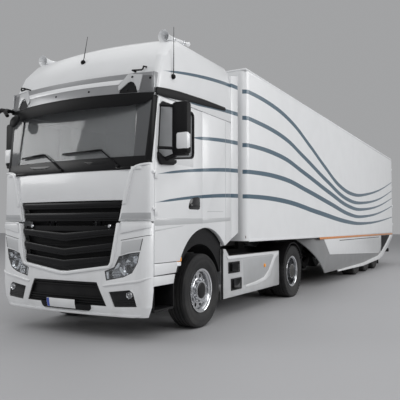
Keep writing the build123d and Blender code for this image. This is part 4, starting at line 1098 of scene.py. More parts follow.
@dataclass
class Grille:
    """Black grille in two parts, one on the bumper and one on the cab's front flap."""

    shop: Workshop
    low_slats: tuple[Row, ...] = ((1.308, 1.203, 1.366, 1.283, 0.785), (1.112, 1.021, 1.196, 1.1, 0.755),
                                  (0.969, 0.84, 1.035, 0.94, 0.715))
    high_slats: tuple[Row, ...] = ((1.696, 1.616, 1.7, 1.62, 0.852), (1.565, 1.468, 1.57, 1.476, 0.815))
    washer: Row = (0.66, 1.396, 0.08)
    back_recess: float = 0.11
    mesh_recess: float = 0.1
    mesh_pitch: float = 0.034
    mesh_wire: float = 0.006
    mesh_edge: float = 0.03
    side_lean: float = 0.21
    tip: float = 0.83
    tip_top: float = 0.95
    tip_spread: float = 5.2
    slat_chin: float = 0.3

    def build(self) -> None:
        """Build and dress both parts."""
        low = ((0.0, 1.345), (0.792, 1.345), (0.72, 0.958), (0.69, 0.922), (0.055, 0.835), (0.0, 0.835))
        high = ((0.0, 1.708), (0.868, 1.708), (0.8, 1.46), (0.0, 1.46))
        # The lower liner is a black strip painted as the shade over the pale inner wall at the grille
        # opening's lower edge.
        low_shade_liner = ((0.0, 0.835), (0.055, 0.835), (0.69, 0.922), (0.72, 0.958), (0.702, 0.966),
                     (0.678, 0.942), (0.055, 0.853), (0.0, 0.851))
        cover = ((0.0, 1.335), (0.785, 1.335), (0.797, 1.4), (0.0, 1.4))
        high_liner = ((0.0, 1.462), (0.8, 1.462), (0.803, 1.472), (0.0, 1.472))
        self.back("lower_grille_mesh", low, ((low_shade_liner, 0.012, 0.1), (cover, 0.08, 0.006)), BUMPER_FACE, ())
        self.back("upper_grille_mesh", high, ((high_liner, 0.012, 0.1),), CAB_FACE, ("upper_grille",))
        gaps = (((0.0, 1.402), (0.32, 1.402), (0.32, 1.47), (0.0, 1.47)),
                ((0.46, 1.402), (0.79, 1.402), (0.8, 1.47), (0.46, 1.47)))
        self.shop.on_face("grille_gap_covers", [(row, 0.15, 0.006, 0.0) for row in gaps], CAB_FACE, BLACK)
        self.slats("lower_grille_slats", self.low_slats, BUMPER_FACE)
        self.slats("upper_grille_slats", self.high_slats, CAB_FACE)
        self.washers()

    def back(self, name: str, outline: Sequence[Pair], liners: Sequence[tuple[Sequence[Pair], float, float]],
             face: NoseFace, replaces: Sequence[str]) -> None:
        """Build the dark back plate with its mesh and liners.

        Args:
            name: The piece's name.
            outline: The plate's left half.
            liners: The left half, set-back and thickness of each liner.
            face: The face that it lies behind.
            replaces: The nodes that it stands for.
        """
        shape = Shape()
        shape.nose_plate(outline, self.back_recess, 0.006)
        for liner in liners:
            shape.nose_plate(*liner)
        low = min(z for _, z in outline) + 0.05
        high = max(z for _, z in outline)
        width = max(x for x, _ in outline)
        for index in range(int((high - low) / self.mesh_pitch)):
            z = low + (index + 0.5) * self.mesh_pitch
            reach = width - self.mesh_edge - (high - z) * self.side_lean
            if z < self.tip_top:
                reach = (z - self.tip) * self.tip_spread
            top = z + self.mesh_wire
            shape.nose_plate(((0.0, z), (reach, z), (reach, top), (0.0, top)), self.mesh_recess, 0.009)
        self.shop.piece(name, face.wrap(shape), BLACK, face.body, replaces)

    def slats(self, name: str, rows: Sequence[Row], face: NoseFace) -> None:
        """Build the thick bars: heights at the middle, heights at the end and the reach of each.

        Args:
            name: The piece's name.
            rows: Those five numbers of each bar.
            face: The face that they lie on.
        """
        shape = Shape()
        for top, bottom, far_top, far_bottom, reach in rows:
            face_low = bottom + self.slat_chin * (top - bottom)
            far_low = far_bottom + self.slat_chin * (far_top - far_bottom)
            shape.nose_plate(((0.0, top), (reach, far_top), (reach - 0.006, far_low), (0.0, face_low)),
                             0.004, 0.05, 0.012)
            shape.nose_plate(((0.0, top - 0.008), (reach, far_top - 0.008), (reach - 0.014, far_bottom),
                              (0.0, bottom)), 0.018, 0.04, 0.008)
        self.shop.piece(name, face.wrap(shape), SATIN, face.body)

    def washers(self) -> None:
        """Build the two bright washer jets at the top of the lower grille."""
        shape = Shape()
        x, z, recess = self.washer
        for sign in SIGNS:
            centre = BUMPER_FACE.spot(sign * x, z, recess)
            shape.lathe(((0.0, 0.024), (0.016, 0.024), (0.022, 0.018), (0.024, 0.006), (0.024, 0.0)),
                        centre, FORWARD, 20)
        self.shop.piece("washer_jets", shape, BRIGHT, "tractor")


@dataclass
class Headlamps:
    """Headlamps: case, turned bowls, cells with a painted highlight, ribs, light arc and clear cover."""

    shop: Workshop
    outline: tuple[Pair, ...] = (
        (0.669, 0.738), (0.907, 0.788), (1.022, 0.84), (1.094, 0.96), (1.122, 1.087), (0.975, 1.065),
        (0.846, 1.03), (0.784, 0.905), (0.647, 0.847))
    case_recess: float = 0.055
    projector: Row = (0.954, 0.882, 0.062)
    dark_bowl: Row = (0.918, 1.012, 0.038)
    bright_bowl: Row = (1.066, 0.998, 0.044)
    small_bowl: Row = (1.04, 0.88, 0.018)
    # Pale glowing cells in the lamps; the third is a painted highlight beside the dark lamp above the
    # projector.
    cells: tuple[tuple[Pair, ...], ...] = (
        ((0.66, 0.75), (0.698, 0.757), (0.691, 0.845), (0.655, 0.838)),
        ((0.775, 0.872), (0.815, 0.89), (0.85, 0.94), (0.83, 0.955), (0.79, 0.905)),
        ((0.93, 0.958), (0.985, 0.965), (0.975, 0.985), (0.95, 0.99)),
        ((0.845, 0.9), (0.852, 0.872), (0.866, 0.845), (0.888, 0.82), (0.915, 0.802), (0.94, 0.798),
         (0.955, 0.808), (0.925, 0.815), (0.902, 0.832), (0.882, 0.854), (0.868, 0.88), (0.86, 0.904)))
    bars: tuple[Pair, ...] = ((0.704, 0.758), (0.72, 0.761))
    ribs: int = 5
    rib_low: float = 0.772
    rib_pitch: float = 0.019

    def build(self) -> None:
        """Build and dress both lamps."""
        case, trim, bright, pale = Shape(), Shape(), Shape(), Shape()
        case.nose_plate(self.outline, self.case_recess, 0.008)
        trim.nose_frame(self.outline, 0.008, 0.004, 0.055)
        for x, z in self.bars:
            trim.nose_plate(((x, z), (x + 0.009, z + 0.002), (x + 0.005, z + 0.092), (x - 0.004, z + 0.09)),
                            0.012, 0.045, 0.002)
        for index in range(self.ribs):
            z = self.rib_low + self.rib_pitch * index
            bright.nose_plate(((0.742, z), (0.86, z + 0.003), (0.86, z + 0.013), (0.742, z + 0.009)), 0.022,
                              0.034, 0.003)
        for cell in self.cells:
            pale.nose_plate(cell, 0.012, 0.03, 0.004)
        self.shop.piece("lamp_housings", BUMPER_FACE.wrap(case), LAMP_CASE, "tractor", ("headlamps",))
        self.shop.piece("lamp_trims", BUMPER_FACE.wrap(trim), GLOSS_BLACK, "tractor")
        self.shop.piece("lamp_ribs", BUMPER_FACE.wrap(bright), BRIGHT, "tractor")
        self.shop.piece("lamp_cells", BUMPER_FACE.wrap(pale), PEARL, "tractor")
        self.bowls()
        self.shop.on_face("lamp_covers", ((self.outline, 0.001, 0.003, 0.0),), BUMPER_FACE, LENS)

    def bowls(self) -> None:
        """Build the turned parts inside the lamps."""
        rings, lenses, bulbs = Shape(), Shape(), Shape()
        domes = ((self.projector, lenses), (self.dark_bowl, lenses), (self.bright_bowl, bulbs),
                 (self.small_bowl, bulbs))
        for sign in SIGNS:
            for (x, z, radius), dome in domes:
                centre = BUMPER_FACE.spot(sign * x, z, self.case_recess)
                rings.lathe(((-0.002, radius * 0.5), (0.01, radius * 0.75), (0.034, radius * 0.94),
                             (0.038, radius), (0.032, radius * 1.06), (0.0, radius * 1.08)), centre,
                            FORWARD, 36)
                dome.lathe(((0.034, 0.0), (0.031, radius * 0.3), (0.02, radius * 0.58),
                            (0.004, radius * 0.7)), centre, FORWARD, 36)
        self.shop.piece("lamp_bowls", rings, BRIGHT, "tractor")
        self.shop.piece("lamp_projectors", lenses, GLOSS_BLACK, "tractor")
        self.shop.piece("lamp_bulbs", bulbs, PEARL, "tractor")


VISOR_FACE = NoseFace("cab", ((3.025, 1.225, -1.415, 0.23, 0.06), (3.29, 1.225, -1.3, 0.14, 0.06)))


@dataclass
class CabShell:
    """Outside of the cab: nose, screen frame, corner guides, visor, roof and side trim."""

    shop: Workshop
    visor_dots: tuple[Row, ...] = (
        (-0.78, 3.09, 0.001), (-0.2, 3.09, 0.001), (0.35, 3.09, 0.001), (0.888, 3.068, 0.006),
        (0.938, 3.234, 0.017), (1.165, 3.209, 0.006))
    hand_bar: tuple[Row, ...] = (
        (0.92, -1.15, 3.325), (0.92, -1.225, 3.325), (1.045, -1.2, 3.32), (1.06, -1.195, 3.335),
        (1.062, -1.185, 3.365), (1.062, -1.12, 3.375))
    kerb_arms: tuple[tuple[float, tuple[Row, ...]], ...] = (
        (0.026, ((-1.2, -1.2, 3.03), (-1.19, -1.33, 3.03), (-1.12, -1.42, 2.98), (-1.06, -1.43, 2.92))),
        (0.03, ((-1.18, -1.3, 3.02), (-1.3, -1.33, 3.045), (-1.4, -1.33, 3.01), (-1.45, -1.32, 2.93))))
    vents: tuple[tuple[Pair, ...], ...] = (((0.266, 2.207), (0.655, 2.2), (0.6, 2.165), (0.36, 2.163)),
                                           ((-0.73, 2.196), (-0.3, 2.186), (-0.37, 2.152), (-0.62, 2.152)))

    def build(self) -> None:
        """Build and dress the cab's outside."""
        self.skins()
        self.screen_frame()
        self.corner_guides()
        self.visor()
        self.front_mirror()
        self.wipers()
        self.side_trim()

    def skins(self) -> None:
        """Round and paint the body panels."""
        shop = self.shop
        shop.softened("cab_nose", "cab_front", WHITE, "cab", 0.008)
        shop.softened("front_flap_panel", "front_flap", WHITE, "cab", 0.007)
        shop.softened("cab_side_panels", "cab_sides", LINED, "cab", 0.008)
        shop.softened("high_roof", "cab_roof", LINED, "cab", 0.02, 30, 3)
        shop.softened("side_deflectors", "air_deflectors", LINED, "cab", 0.012)
        shop.dress(WHITE, "cab_rear_wall")
        shop.dress(LINING, "cab_floor")
        shop.dress(SCREEN, "windscreen")

    def screen_frame(self) -> None:
        """Build the black strips round the windscreen."""
        sill = ((0.0, 2.083), (1.2, 2.083), (1.232, 2.12), (1.232, 2.17), (1.15, 2.245), (0.0, 2.245))
        pillar = ((1.147, 2.2), (1.229, 2.162), (1.237, 2.557), (1.243, 2.99), (1.19, 2.985))
        edge = ((1.0, 2.2), (1.15, 2.2), (1.192, 2.96), (0.97, 2.96))
        header = ((0.0, 2.925), (1.2, 2.935), (1.24, 2.997), (0.0, 2.997))
        self.shop.on_face("screen_edges", ((edge, -0.003, 0.006, 0.001),), CAB_FACE, SCREEN_EDGE)
        self.shop.on_face("screen_frame", [(row, -0.0055, 0.008, 0.002) for row in (sill, pillar, header)],
                          CAB_FACE, SATIN)
        ends = Shape()
        ends.side_boxes((0.73, -1.335, 2.081), (0.985, -1.3, 2.118), 0.004)
        self.shop.piece("sill_ends", ends, SATIN, "cab")
        vents = [(row, -0.0065, 0.006, 0.0015) for row in self.vents]
        self.shop.on_face("sill_vents", vents, CAB_FACE, GLOSS_BLACK, both=False)

    def corner_guides(self) -> None:
        """Build the raised air guides at the nose's corners, with a grey band painted as shade at the foot of
        each.
        """
        guide = ((0.826, 1.472), (0.892, 1.776), (0.955, 2.03), (0.972, 2.07), (0.998, 2.105),
                 (1.035, 2.13), (1.09, 2.146), (1.15, 2.154), (1.238, 2.16), (1.24, 1.472))
        self.shop.on_face("corner_guides", ((guide, -0.024, 0.03, 0.011),), CAB_FACE, WHITE)
        # A grey plate painted along the foot of each guide as the shade of its recess.
        shade = ((0.85, 1.482), (0.868, 1.556), (1.236, 1.556), (1.236, 1.482))
        self.shop.on_face("corner_shades", ((shade, -0.0255, 0.004, 0.001),), CAB_FACE, GREY_PAINT_AND_SHADE)
        edge = ((0.878, 1.66), (0.903, 1.776), (0.966, 2.03), (0.985, 2.07), (1.01, 2.102), (1.05, 2.124),
                (1.1, 2.137), (1.23, 2.15), (1.23, 2.132), (1.1, 2.115), (1.06, 2.096), (1.034, 2.066),
                (1.014, 2.02), (0.953, 1.776), (0.926, 1.66))
        self.shop.on_face("guide_edges", ((edge, -0.044, 0.03, 0.009),), CAB_FACE, WHITE)

    def visor(self) -> None:
        """Build the visor with its stripe, screws, end brackets and smoked lower strip, and the end caps and
        arches painted dark as shade.
        """
        shop = self.shop
        shell = Shape()
        shell.nose_plate(((0.0, 3.025), (1.2235, 3.025), (1.2235, 3.29), (0.0, 3.29)), 0.0, 0.025, 0.008)
        VISOR_FACE.wrap(shell)
        shell.side_boxes((1.2, -1.19, 3.03), (1.224, -1.13, 3.285), 0.008)
        shop.piece("visor_shell", shell, VISOR, "cab", ("sun_visor",))
        stripe = ((-1.12, 3.149), (0.76, 3.149), (0.815, 3.211), (-1.12, 3.211))
        shop.on_face("visor_stripe", ((stripe, -0.004, 0.006, 0.002),), VISOR_FACE, WHITE, both=False)
        lip = ((0.0, 2.865), (0.9, 2.87), (1.12, 2.905), (1.195, 2.95), (1.215, 3.03), (0.0, 3.03))
        shop.on_face("visor_lip", ((lip, 0.006, 0.006, 0.002),), VISOR_FACE, SEAL)
        bracket = ((0.87, 3.279), (0.766, 3.124), (0.785, 3.06), (0.832, 3.103), (0.89, 3.162),
                   (0.925, 3.174), (0.965, 3.16), (1.0, 3.11), (1.022, 3.05), (1.04, 3.05), (1.062, 3.262))
        shop.on_face("visor_brackets", ((bracket, -0.016, 0.018, 0.005),), VISOR_FACE, PALE_PAINT_AND_SHADE)
        # The arch under each bracket is a black plate painted as the shade inside its opening.
        arch = ((0.795, 3.03), (0.8, 3.07), (0.84, 3.11), (0.89, 3.16), (0.925, 3.172), (0.965, 3.158),
                (1.0, 3.108), (1.02, 3.03))
        shop.on_face("visor_arches", ((arch, -0.004, 0.006, 0.0),), VISOR_FACE, BLACK)
        # The end caps are painted dark grey as the shade on the visor's sides.
        end = ((1.045, 3.03), (1.048, 3.07), (1.07, 3.248), (1.185, 3.243), (1.21, 3.21), (1.214, 3.03))
        shop.on_face("visor_ends", ((end, -0.004, 0.006, 0.002),), VISOR_FACE, VISOR_END_SHADE)
        dots = Shape()
        for x, z, proud in self.visor_dots:
            dots.lathe(((-0.006, 0.014), (0.003, 0.014), (0.006, 0.01), (0.007, 0.0)),
                       VISOR_FACE.spot(x, z, -proud), FORWARD, 14)
        shop.piece("visor_screws", dots, BLACK, "cab")
        grips = Shape()
        for sign in SIGNS:
            grips.tube([at(sign * x, station, z) for x, station, z in self.hand_bar], 0.011, 8)
        shop.piece("roof_hand_bars", grips, BLACK, "cab")

    def front_mirror(self) -> None:
        """Build the kerb mirror at the far end of the visor."""
        arms = Shape()
        for radius, path in self.kerb_arms:
            arms.tube([at(*point) for point in path], radius, 12)
        arms.rod(at(-1.44, -1.33, 2.97), at(-1.47, -1.31, 2.885), 0.034, 0.02, 16, 0.008)
        shell = ((0.0, 0.0), (0.004, 0.05), (0.03, 0.09), (0.06, 0.095), (0.062, 0.088), (0.055, 0.082))
        centre, look = at(-1.0, -1.4, 2.87), Vector((0.15, 0.9, -0.4)).normalized()
        arms.lathe(shell, centre, look, 28)
        self.shop.piece("kerb_mirror", arms, BLACK, "cab")
        face = Shape()
        face.lathe(((0.056, 0.084), (0.058, 0.04), (0.059, 0.0)), centre, look, 28)
        self.shop.piece("kerb_mirror_glass", face, BRIGHT, "cab")

    def wipers(self) -> None:
        """Build the two wipers."""
        shape = Shape()
        for start, end, base in (((-0.904, 2.325), (-0.42, 2.345), (-0.093, 2.116)),
                                 ((-0.104, 2.33), (0.54, 2.343), (0.79, 2.13))):
            blade = [Vector((start[0] + (end[0] - start[0]) * i / 8, -0.016,
                             start[1] + (end[1] - start[1]) * i / 8)) for i in range(9)]
            shape.sweep(((-0.008, -0.012), (0.008, -0.012), (0.005, 0.012), (-0.005, 0.012)), blade)
            arm = [Vector((end[0] - 0.25, -0.03, end[1] - 0.004)),
                   Vector((end[0] - 0.02, -0.036, end[1] + 0.004)),
                   Vector((end[0] + 0.02, -0.032, end[1] - 0.018)),
                   Vector(((end[0] + base[0]) / 2 + 0.015, -0.034, (end[1] + base[1]) / 2)),
                   Vector((base[0], -0.024, base[1]))]
            shape.tube(arm, 0.01, 8)
            shape.rod(Vector((base[0], 0.0, base[1])), Vector((base[0], -0.034, base[1])), 0.022, 0.018, 16,
                      0.004)
        self.shop.piece("wiper_arms", CAB_FACE.wrap(shape, 0.12), SEAL, "cab", ("wipers",))

    def side_trim(self) -> None:
        """Build the gutter strips, the swage bands painted pale grey as shade, and the seams on both sides.
        """
        gutter = (
            (-1.185, 3.001), (-1.175, 3.09), (-0.918, 3.124), (-0.64, 3.148), (0.007, 3.182), (0.66, 3.196),
            (0.69, 3.18), (0.68, 3.148), (0.007, 3.096), (-0.329, 3.072), (-0.64, 3.032), (-0.95, 3.004))
        # The swage band is painted pale grey as the shade along its crease.
        swage = ((-0.022, 1.435), (0.86, 1.48), (0.86, 1.53), (-0.022, 1.505))
        seam = ((0.697, 1.2), (0.703, 1.2), (0.703, 2.98), (0.697, 2.98))
        shut = ((0.12, 1.602), (0.62, 1.612), (0.62, 1.617), (0.12, 1.607))
        for name, sign in SIDES:
            self.shop.on_side(f"gutter_{name}", ((gutter, 1.235, 0.026, 0.008),), SEAL, "cab", sign)
            self.shop.on_side(f"side_swage_{name}", ((swage, CAB_SIDE, 0.008, 0.003),), PALE_PAINT_AND_SHADE, "cab", sign)
            self.shop.on_side(f"side_seams_{name}", ((seam, CAB_SIDE, 0.006, 0.0),
                                                     (shut, CAB_SIDE, 0.006, 0.0)), GREY_PAINT_AND_SHADE, "cab", sign)


@dataclass
class Doors:
    """Cab doors: skin, window seal, handle, swage painted pale grey as shade, and mirror."""

    shop: Workshop
    window: tuple[Pair, ...] = ((-1.152, 2.195), (-1.09, 2.945), (-0.248, 2.945), (-0.248, 2.31))
    mirror: Row = (1.47, -0.95, 2.59)
    mirror_root: tuple[Row, ...] = (
        (1.262, -1.0, 2.22), (1.3, -0.985, 2.235), (1.36, -0.96, 2.262), (1.43, -0.95, 2.3))

    def build(self) -> None:
        """Build and dress both doors."""
        for name, sign in SIDES:
            body = f"door_{name}"
            self.shop.softened(f"door_skin_{name}", body, LINED, body, 0.008)
            self.shop.dress(SIDE_GLASS, f"door_glass_{name}")
            seal = Shape()
            seal.side_frame(self.window, 0.026, 1.205, 0.044, 0.005, 0.075)
            self.shop.piece(f"window_seal_{name}", seal.flipped(sign), SEAL, body)
            sill = ((-1.14, 2.18), (-0.26, 2.18), (-0.26, 2.318), (-1.14, 2.21))
            self.shop.on_side(f"window_sill_{name}", ((sill, 1.215, 0.0295, 0.003),), WHITE, body, sign)
            self.handle(name, sign)
            # The swage and the crease below it are painted pale grey as the shade along the creases.
            swage = ((-1.192, 1.40), (-0.035, 1.435), (-0.035, 1.505), (-1.192, 1.492))
            crease = ((-1.192, 1.33), (-0.55, 1.395), (-0.5, 1.405), (-1.192, 1.352))
            self.shop.on_side(f"door_swage_{name}", ((swage, CAB_SIDE, 0.008, 0.003),
                                                     (crease, CAB_SIDE, 0.006, 0.002)), PALE_PAINT_AND_SHADE, body, sign)
            self.outer_mirror(name, sign)

    def handle(self, name: str, sign: int) -> None:
        """Build the door handle in its dark recess.

        Args:
            name: The side's word.
            sign: The sign of the side's x.
        """
        cup = ((-0.4, 1.635), (-0.385, 1.70), (-0.34, 1.76), (-0.25, 1.785), (-0.15, 1.795), (-0.1, 1.78),
               (-0.09, 1.70), (-0.1, 1.632), (-0.14, 1.62), (-0.37, 1.62))
        grip = ((-0.38, 1.652), (-0.12, 1.655), (-0.12, 1.685), (-0.37, 1.69))
        self.shop.on_side(f"door_handle_{name}", ((cup, 1.235, 0.014, 0.004), (grip, 1.245, 0.022, 0.006)),
                          GLOSS_BLACK, f"door_{name}", sign)

    def outer_mirror(self, name: str, sign: int) -> None:
        """Build the tall mirror with its arms, lower cover and glass.

        Args:
            name: The side's word.
            sign: The sign of the side's x.
        """
        body = f"door_{name}"
        x, station, z = self.mirror
        shell = Shape()
        shell.box(at(x - 0.12, station - 0.062, z - 0.32), at(x + 0.12, station + 0.055, z + 0.338), 0.045)
        shell.box(at(x - 0.075, station - 0.058, z - 0.335), at(x + 0.09, station + 0.04, z - 0.3), 0.015)
        base = ((-1.165, 2.3), (-1.155, 2.2), (-1.1, 2.145), (-0.82, 2.165), (-0.755, 2.195),
                (-0.755, 2.24), (-0.93, 2.235), (-1.08, 2.262))
        shell.side_plate(base, 1.246, 0.04, 0.014)
        shell.tube([at(*point) for point in self.mirror_root], 0.03, 14)
        for start, height in ((-1.145, 2.35), (-1.1, 2.88)):
            arm = ((1.247, start), (1.3, start + 0.05), (x - 0.08, station - 0.03))
            shell.tube([at(*point, height) for point in arm], 0.019, 12)
        self.shop.piece(f"mirror_shell_{name}", shell.flipped(sign), BLACK, body, (f"mirror_{name}",))
        cover = Shape()
        cover.box(at(x - 0.045, station - 0.072, z - 0.262), at(x + 0.123, station + 0.03, z - 0.048), 0.03)
        self.shop.piece(f"mirror_cover_{name}", cover.flipped(sign), WHITE, body)
        glass = Shape()
        glass.box(at(x - 0.09, station + 0.053, z - 0.04), at(x + 0.09, station + 0.059, z + 0.3), 0.002)
        glass.box(at(x - 0.09, station + 0.053, z - 0.28), at(x + 0.09, station + 0.059, z - 0.06), 0.002)
        self.shop.piece(f"mirror_glass_{name}", glass.flipped(sign), BRIGHT, body)


@dataclass
class RoofFittings:
    """Air horns and aerials."""

    shop: Workshop
    horn: Row = (1.08, -0.7, 3.885)
    slope: float = 7.0
    foot_reaches: Pair = (0.17, 0.43)
    ball_radius: float = 0.034
    horn_profile: tuple[Pair, ...] = (
        (-0.575, 0.0), (-0.585, 0.028), (-0.57, 0.034), (-0.53, 0.022), (-0.18, 0.026), (-0.08, 0.036),
        (0.0, 0.053), (0.06, 0.074), (0.075, 0.082), (0.066, 0.074), (0.0, 0.045), (-0.09, 0.02),
        (-0.18, 0.0))

    def build(self) -> None:
        """Build and dress the roof fittings."""
        horns, feet = Shape(), Shape()
        x, station, z = self.horn
        fall = math.radians(self.slope)
        ahead = Vector((0, -math.cos(fall), -math.sin(fall)))
        for sign in SIGNS:
            middle = at(sign * x, station, z)
            horns.lathe(self.horn_profile, middle, ahead, 36)
            for reach in self.foot_reaches:
                place = middle - ahead * reach
                feet.box(place - Vector((0.016, 0.02, 0.2)), place + Vector((0.016, 0.02, -0.018)), 0.006)
                feet.rod(place - ahead * 0.02, place + ahead * 0.02, 0.034, None, 20, 0.004)
        self.shop.piece("air_horns", horns, WHITE, "cab", ("roof_fittings",))
        self.shop.piece("horn_feet", feet, BRIGHT, "cab")
        whips = Shape()
        for base, tip, ball in ((at(1.258, -0.8, 3.33), at(1.258, -0.8, 3.95), at(1.25, -0.8, 3.305)),
                                (at(0.0, -1.085, 3.62), at(0.02, -1.03, 3.97), at(0.0, -1.09, 3.6))):
            whips.rod(base, tip, 0.006, 0.003, 8)
            bmesh.ops.create_uvsphere(whips.bm, u_segments=16, v_segments=10, radius=self.ball_radius,
                                      matrix=Matrix.Translation(ball))
        self.shop.piece("aerials", whips, SEAL, "cab")


@dataclass
class Wheels:
    """Tyres with their grooves, rims, hubs and nuts."""

    shop: Workshop
    tyre_radius: float = 0.507
    tyre_half: float = 0.156
    trailer_radius: float = 0.536
    trailer_half: float = 0.1925
    rim_radius: float = 0.286
    side_wall: tuple[Pair, ...] = ((0.012, 0.3), (0.001, 0.5), (0.0, 0.58), (0.004, 0.7), (0.002, 0.72))
    shoulder: float = 0.034
    grooves: Pair = (0.5, 0.17)
    groove_deep: float = 0.014
    nuts: int = 10
    front_x: float = 1.089
    inner_x: float = 0.744
    trailer_x: float = 0.9925
    drive_station: float = 3.7
    axle_stations: Row = (9.34, 10.65, 11.96)
    tyre_steps: int = 72
    rim_steps: int = 60
    lugs: int = 44
    lug: Row = (0.026, 0.03, 0.026)
    nut_rods: tuple[tuple[float, float, float, int], ...] = (
        (0.028, 0.017, 0.015, 6), (0.04, 0.009, 0.008, 8))
    rim_lip: tuple[Pair, ...] = (
        (0.106, 0.262), (0.112, 0.284), (0.128, 0.303), (0.133, 0.301), (0.13, 0.288))

    def build(self) -> None:
        """Build and dress every wheel."""
        for name, sign in SIDES:
            self.front(name, sign)
            self.drive(name, sign)
            for number, station in enumerate(self.axle_stations, 1):
                self.trailer(name, sign, number, station)

    def tyre_profile(self, radius: float, half: float) -> list[Pair]:
        """Work out the half section of a tyre, from one bead over the grooved tread to the other.

        Args:
            radius: Its outer radius.
            half: Half its width.

        Returns:
            Distances along the axle and radii.
        """
        bead = 0.72 * half
        wall = radius - self.rim_radius
        side = [(bead, self.rim_radius), (bead + 0.006, self.rim_radius + 0.022)]
        side += [(half - tuck, self.rim_radius + share * wall) for tuck, share in self.side_wall]
        side += [(half - 0.008, radius - 0.1 * wall), (half - 0.02, radius - 0.012),
                 (half - self.shoulder, radius)]
        tread = []
        for middle in self.grooves:
            place = middle * (half - self.shoulder) * 1.25
            tread += [(place + 0.006, radius), (place + 0.004, radius - self.groove_deep),
                      (place - 0.004, radius - self.groove_deep), (place - 0.006, radius)]
        half_profile = side + tread
        return half_profile + [(-u, r) for u, r in reversed(half_profile)]

    def tyres(self, places: Sequence[float], station: float, radius: float, half: float,
              lugs: int = 0) -> Shape:
        """Make the tyres on one side of an axle.

        Args:
            places: The x of each tyre's middle.
            station: Their axle's station.
            radius: Their outer radius.
            half: Half their width.
            lugs: Notched blocks round each shoulder.

        Returns:
            Their shape.
        """
        shape = Shape()
        block = Matrix.Diagonal((*self.lug, 1))
        for x in places:
            centre = at(x, station, radius)
            shape.lathe(self.tyre_profile(radius, half), centre, (1, 0, 0), self.tyre_steps, True)
            for index in range(lugs):
                turn = Matrix.Rotation(math.tau * index / lugs, 4, "X")
                turn = Matrix.Translation(centre) @ turn @ Matrix.Translation((0, 0, radius - 0.015))
                for edge in (-1, 1):
                    place = turn @ Matrix.Translation((edge * (half - 0.017), 0, 0)) @ block
                    bmesh.ops.create_cube(shape.bm, size=1.0, matrix=place)
        return shape

    def turned(self, centre: Vector, sign: int, *profiles: Sequence[Pair]) -> Shape:
        """Turn profiles about an axle, with their outside towards one side.

        Args:
            centre: Point that the profiles are measured from.
            sign: The sign of the side's x.
            profiles: The profiles.

        Returns:
            Their shape.
        """
        shape = Shape()
        for profile in profiles:
            shape.lathe(profile, centre, (sign, 0, 0), self.rim_steps)
        return shape

    def nut_ring(self, shape: Shape, x: float, station: float, axle: float, sign: int, circle: float) -> None:
        """Add a ring of wheel nuts to a shape.

        Args:
            shape: The shape.
            x: Where the nuts start.
            station: The axle's station.
            axle: The axle's height.
            sign: The sign of the side's x.
            circle: Radius of the ring.
        """
        for index in range(self.nuts):
            angle = math.tau * (index + 0.5) / self.nuts
            start = at(x, station + circle * math.cos(angle), axle + circle * math.sin(angle))
            for length, near, far, flats in self.nut_rods:
                shape.rod(start, start + Vector((sign * length, 0, 0)), near, far, flats)

    def front(self, name: str, sign: int) -> None:
        """Build one steered wheel.

        Args:
            name: The side's word.
            sign: The sign of the side's x.
        """
        body = f"front_wheel_{name}"
        x = sign * self.front_x
        tyre = self.tyres((x,), 0.0, self.tyre_radius, self.tyre_half)
        self.shop.piece(f"front_tread_{name}", tyre, RUBBER, body, (f"front_tyre_{name}",))
        self.shop.dress(RIM, f"front_rim_{name}")
        centre = at(x, 0.0, self.tyre_radius)
        ring = ((0.0695, 0.176), (0.088, 0.178), (0.092, 0.17), (0.088, 0.146), (0.0695, 0.144))
        face = self.turned(centre, sign, (*self.rim_lip, (0.116, 0.272), (0.09, 0.262)), ring)
        self.shop.piece(f"front_rim_face_{name}", face, BRIGHT, body)
        nuts = Shape()
        self.nut_ring(nuts, x + sign * 0.086, 0.0, self.tyre_radius, sign, 0.161)
        self.shop.piece(f"front_nuts_{name}", nuts, BRIGHT, body)
        cap = self.turned(centre, sign, ((0.1, 0.112), (0.134, 0.11), (0.139, 0.1), (0.144, 0.06),
                                         (0.146, 0.0)))
        self.shop.piece(f"front_hub_{name}", cap, SATIN, body)

    def drive(self, name: str, sign: int) -> None:
        """Build one pair of driven wheels.

        Args:
            name: The side's word.
            sign: The sign of the side's x.
        """
        body = f"drive_wheel_{name}"
        outer, station = sign * self.front_x, self.drive_station
        tyre = self.tyres((outer, sign * self.inner_x), station, self.tyre_radius, self.tyre_half, self.lugs)
        self.shop.piece(f"drive_tread_{name}", tyre, RUBBER, body, (f"drive_tyres_{name}",))
        self.shop.dress(RIM, f"drive_rims_{name}")
        centre = at(outer, station, self.tyre_radius)
        ring = ((-0.15, 0.18), (-0.12, 0.182), (-0.115, 0.17), (-0.12, 0.146), (-0.15, 0.144))
        face = self.turned(centre, sign, (*self.rim_lip, (0.112, 0.27), (0.05, 0.262)), ring)
        self.shop.piece(f"drive_rim_face_{name}", face, BRIGHT, body)
        cap = self.turned(centre, sign, ((-0.1, 0.1425), (0.06, 0.142), (0.07, 0.134), (0.09, 0.13),
                                         (0.132, 0.128), (0.138, 0.118), (0.14, 0.07), (0.146, 0.062),
                                         (0.147, 0.0)))
        self.nut_ring(cap, outer - sign * 0.122, station, self.tyre_radius, sign, 0.163)
        self.shop.piece(f"drive_hub_{name}", cap, CAST, body)

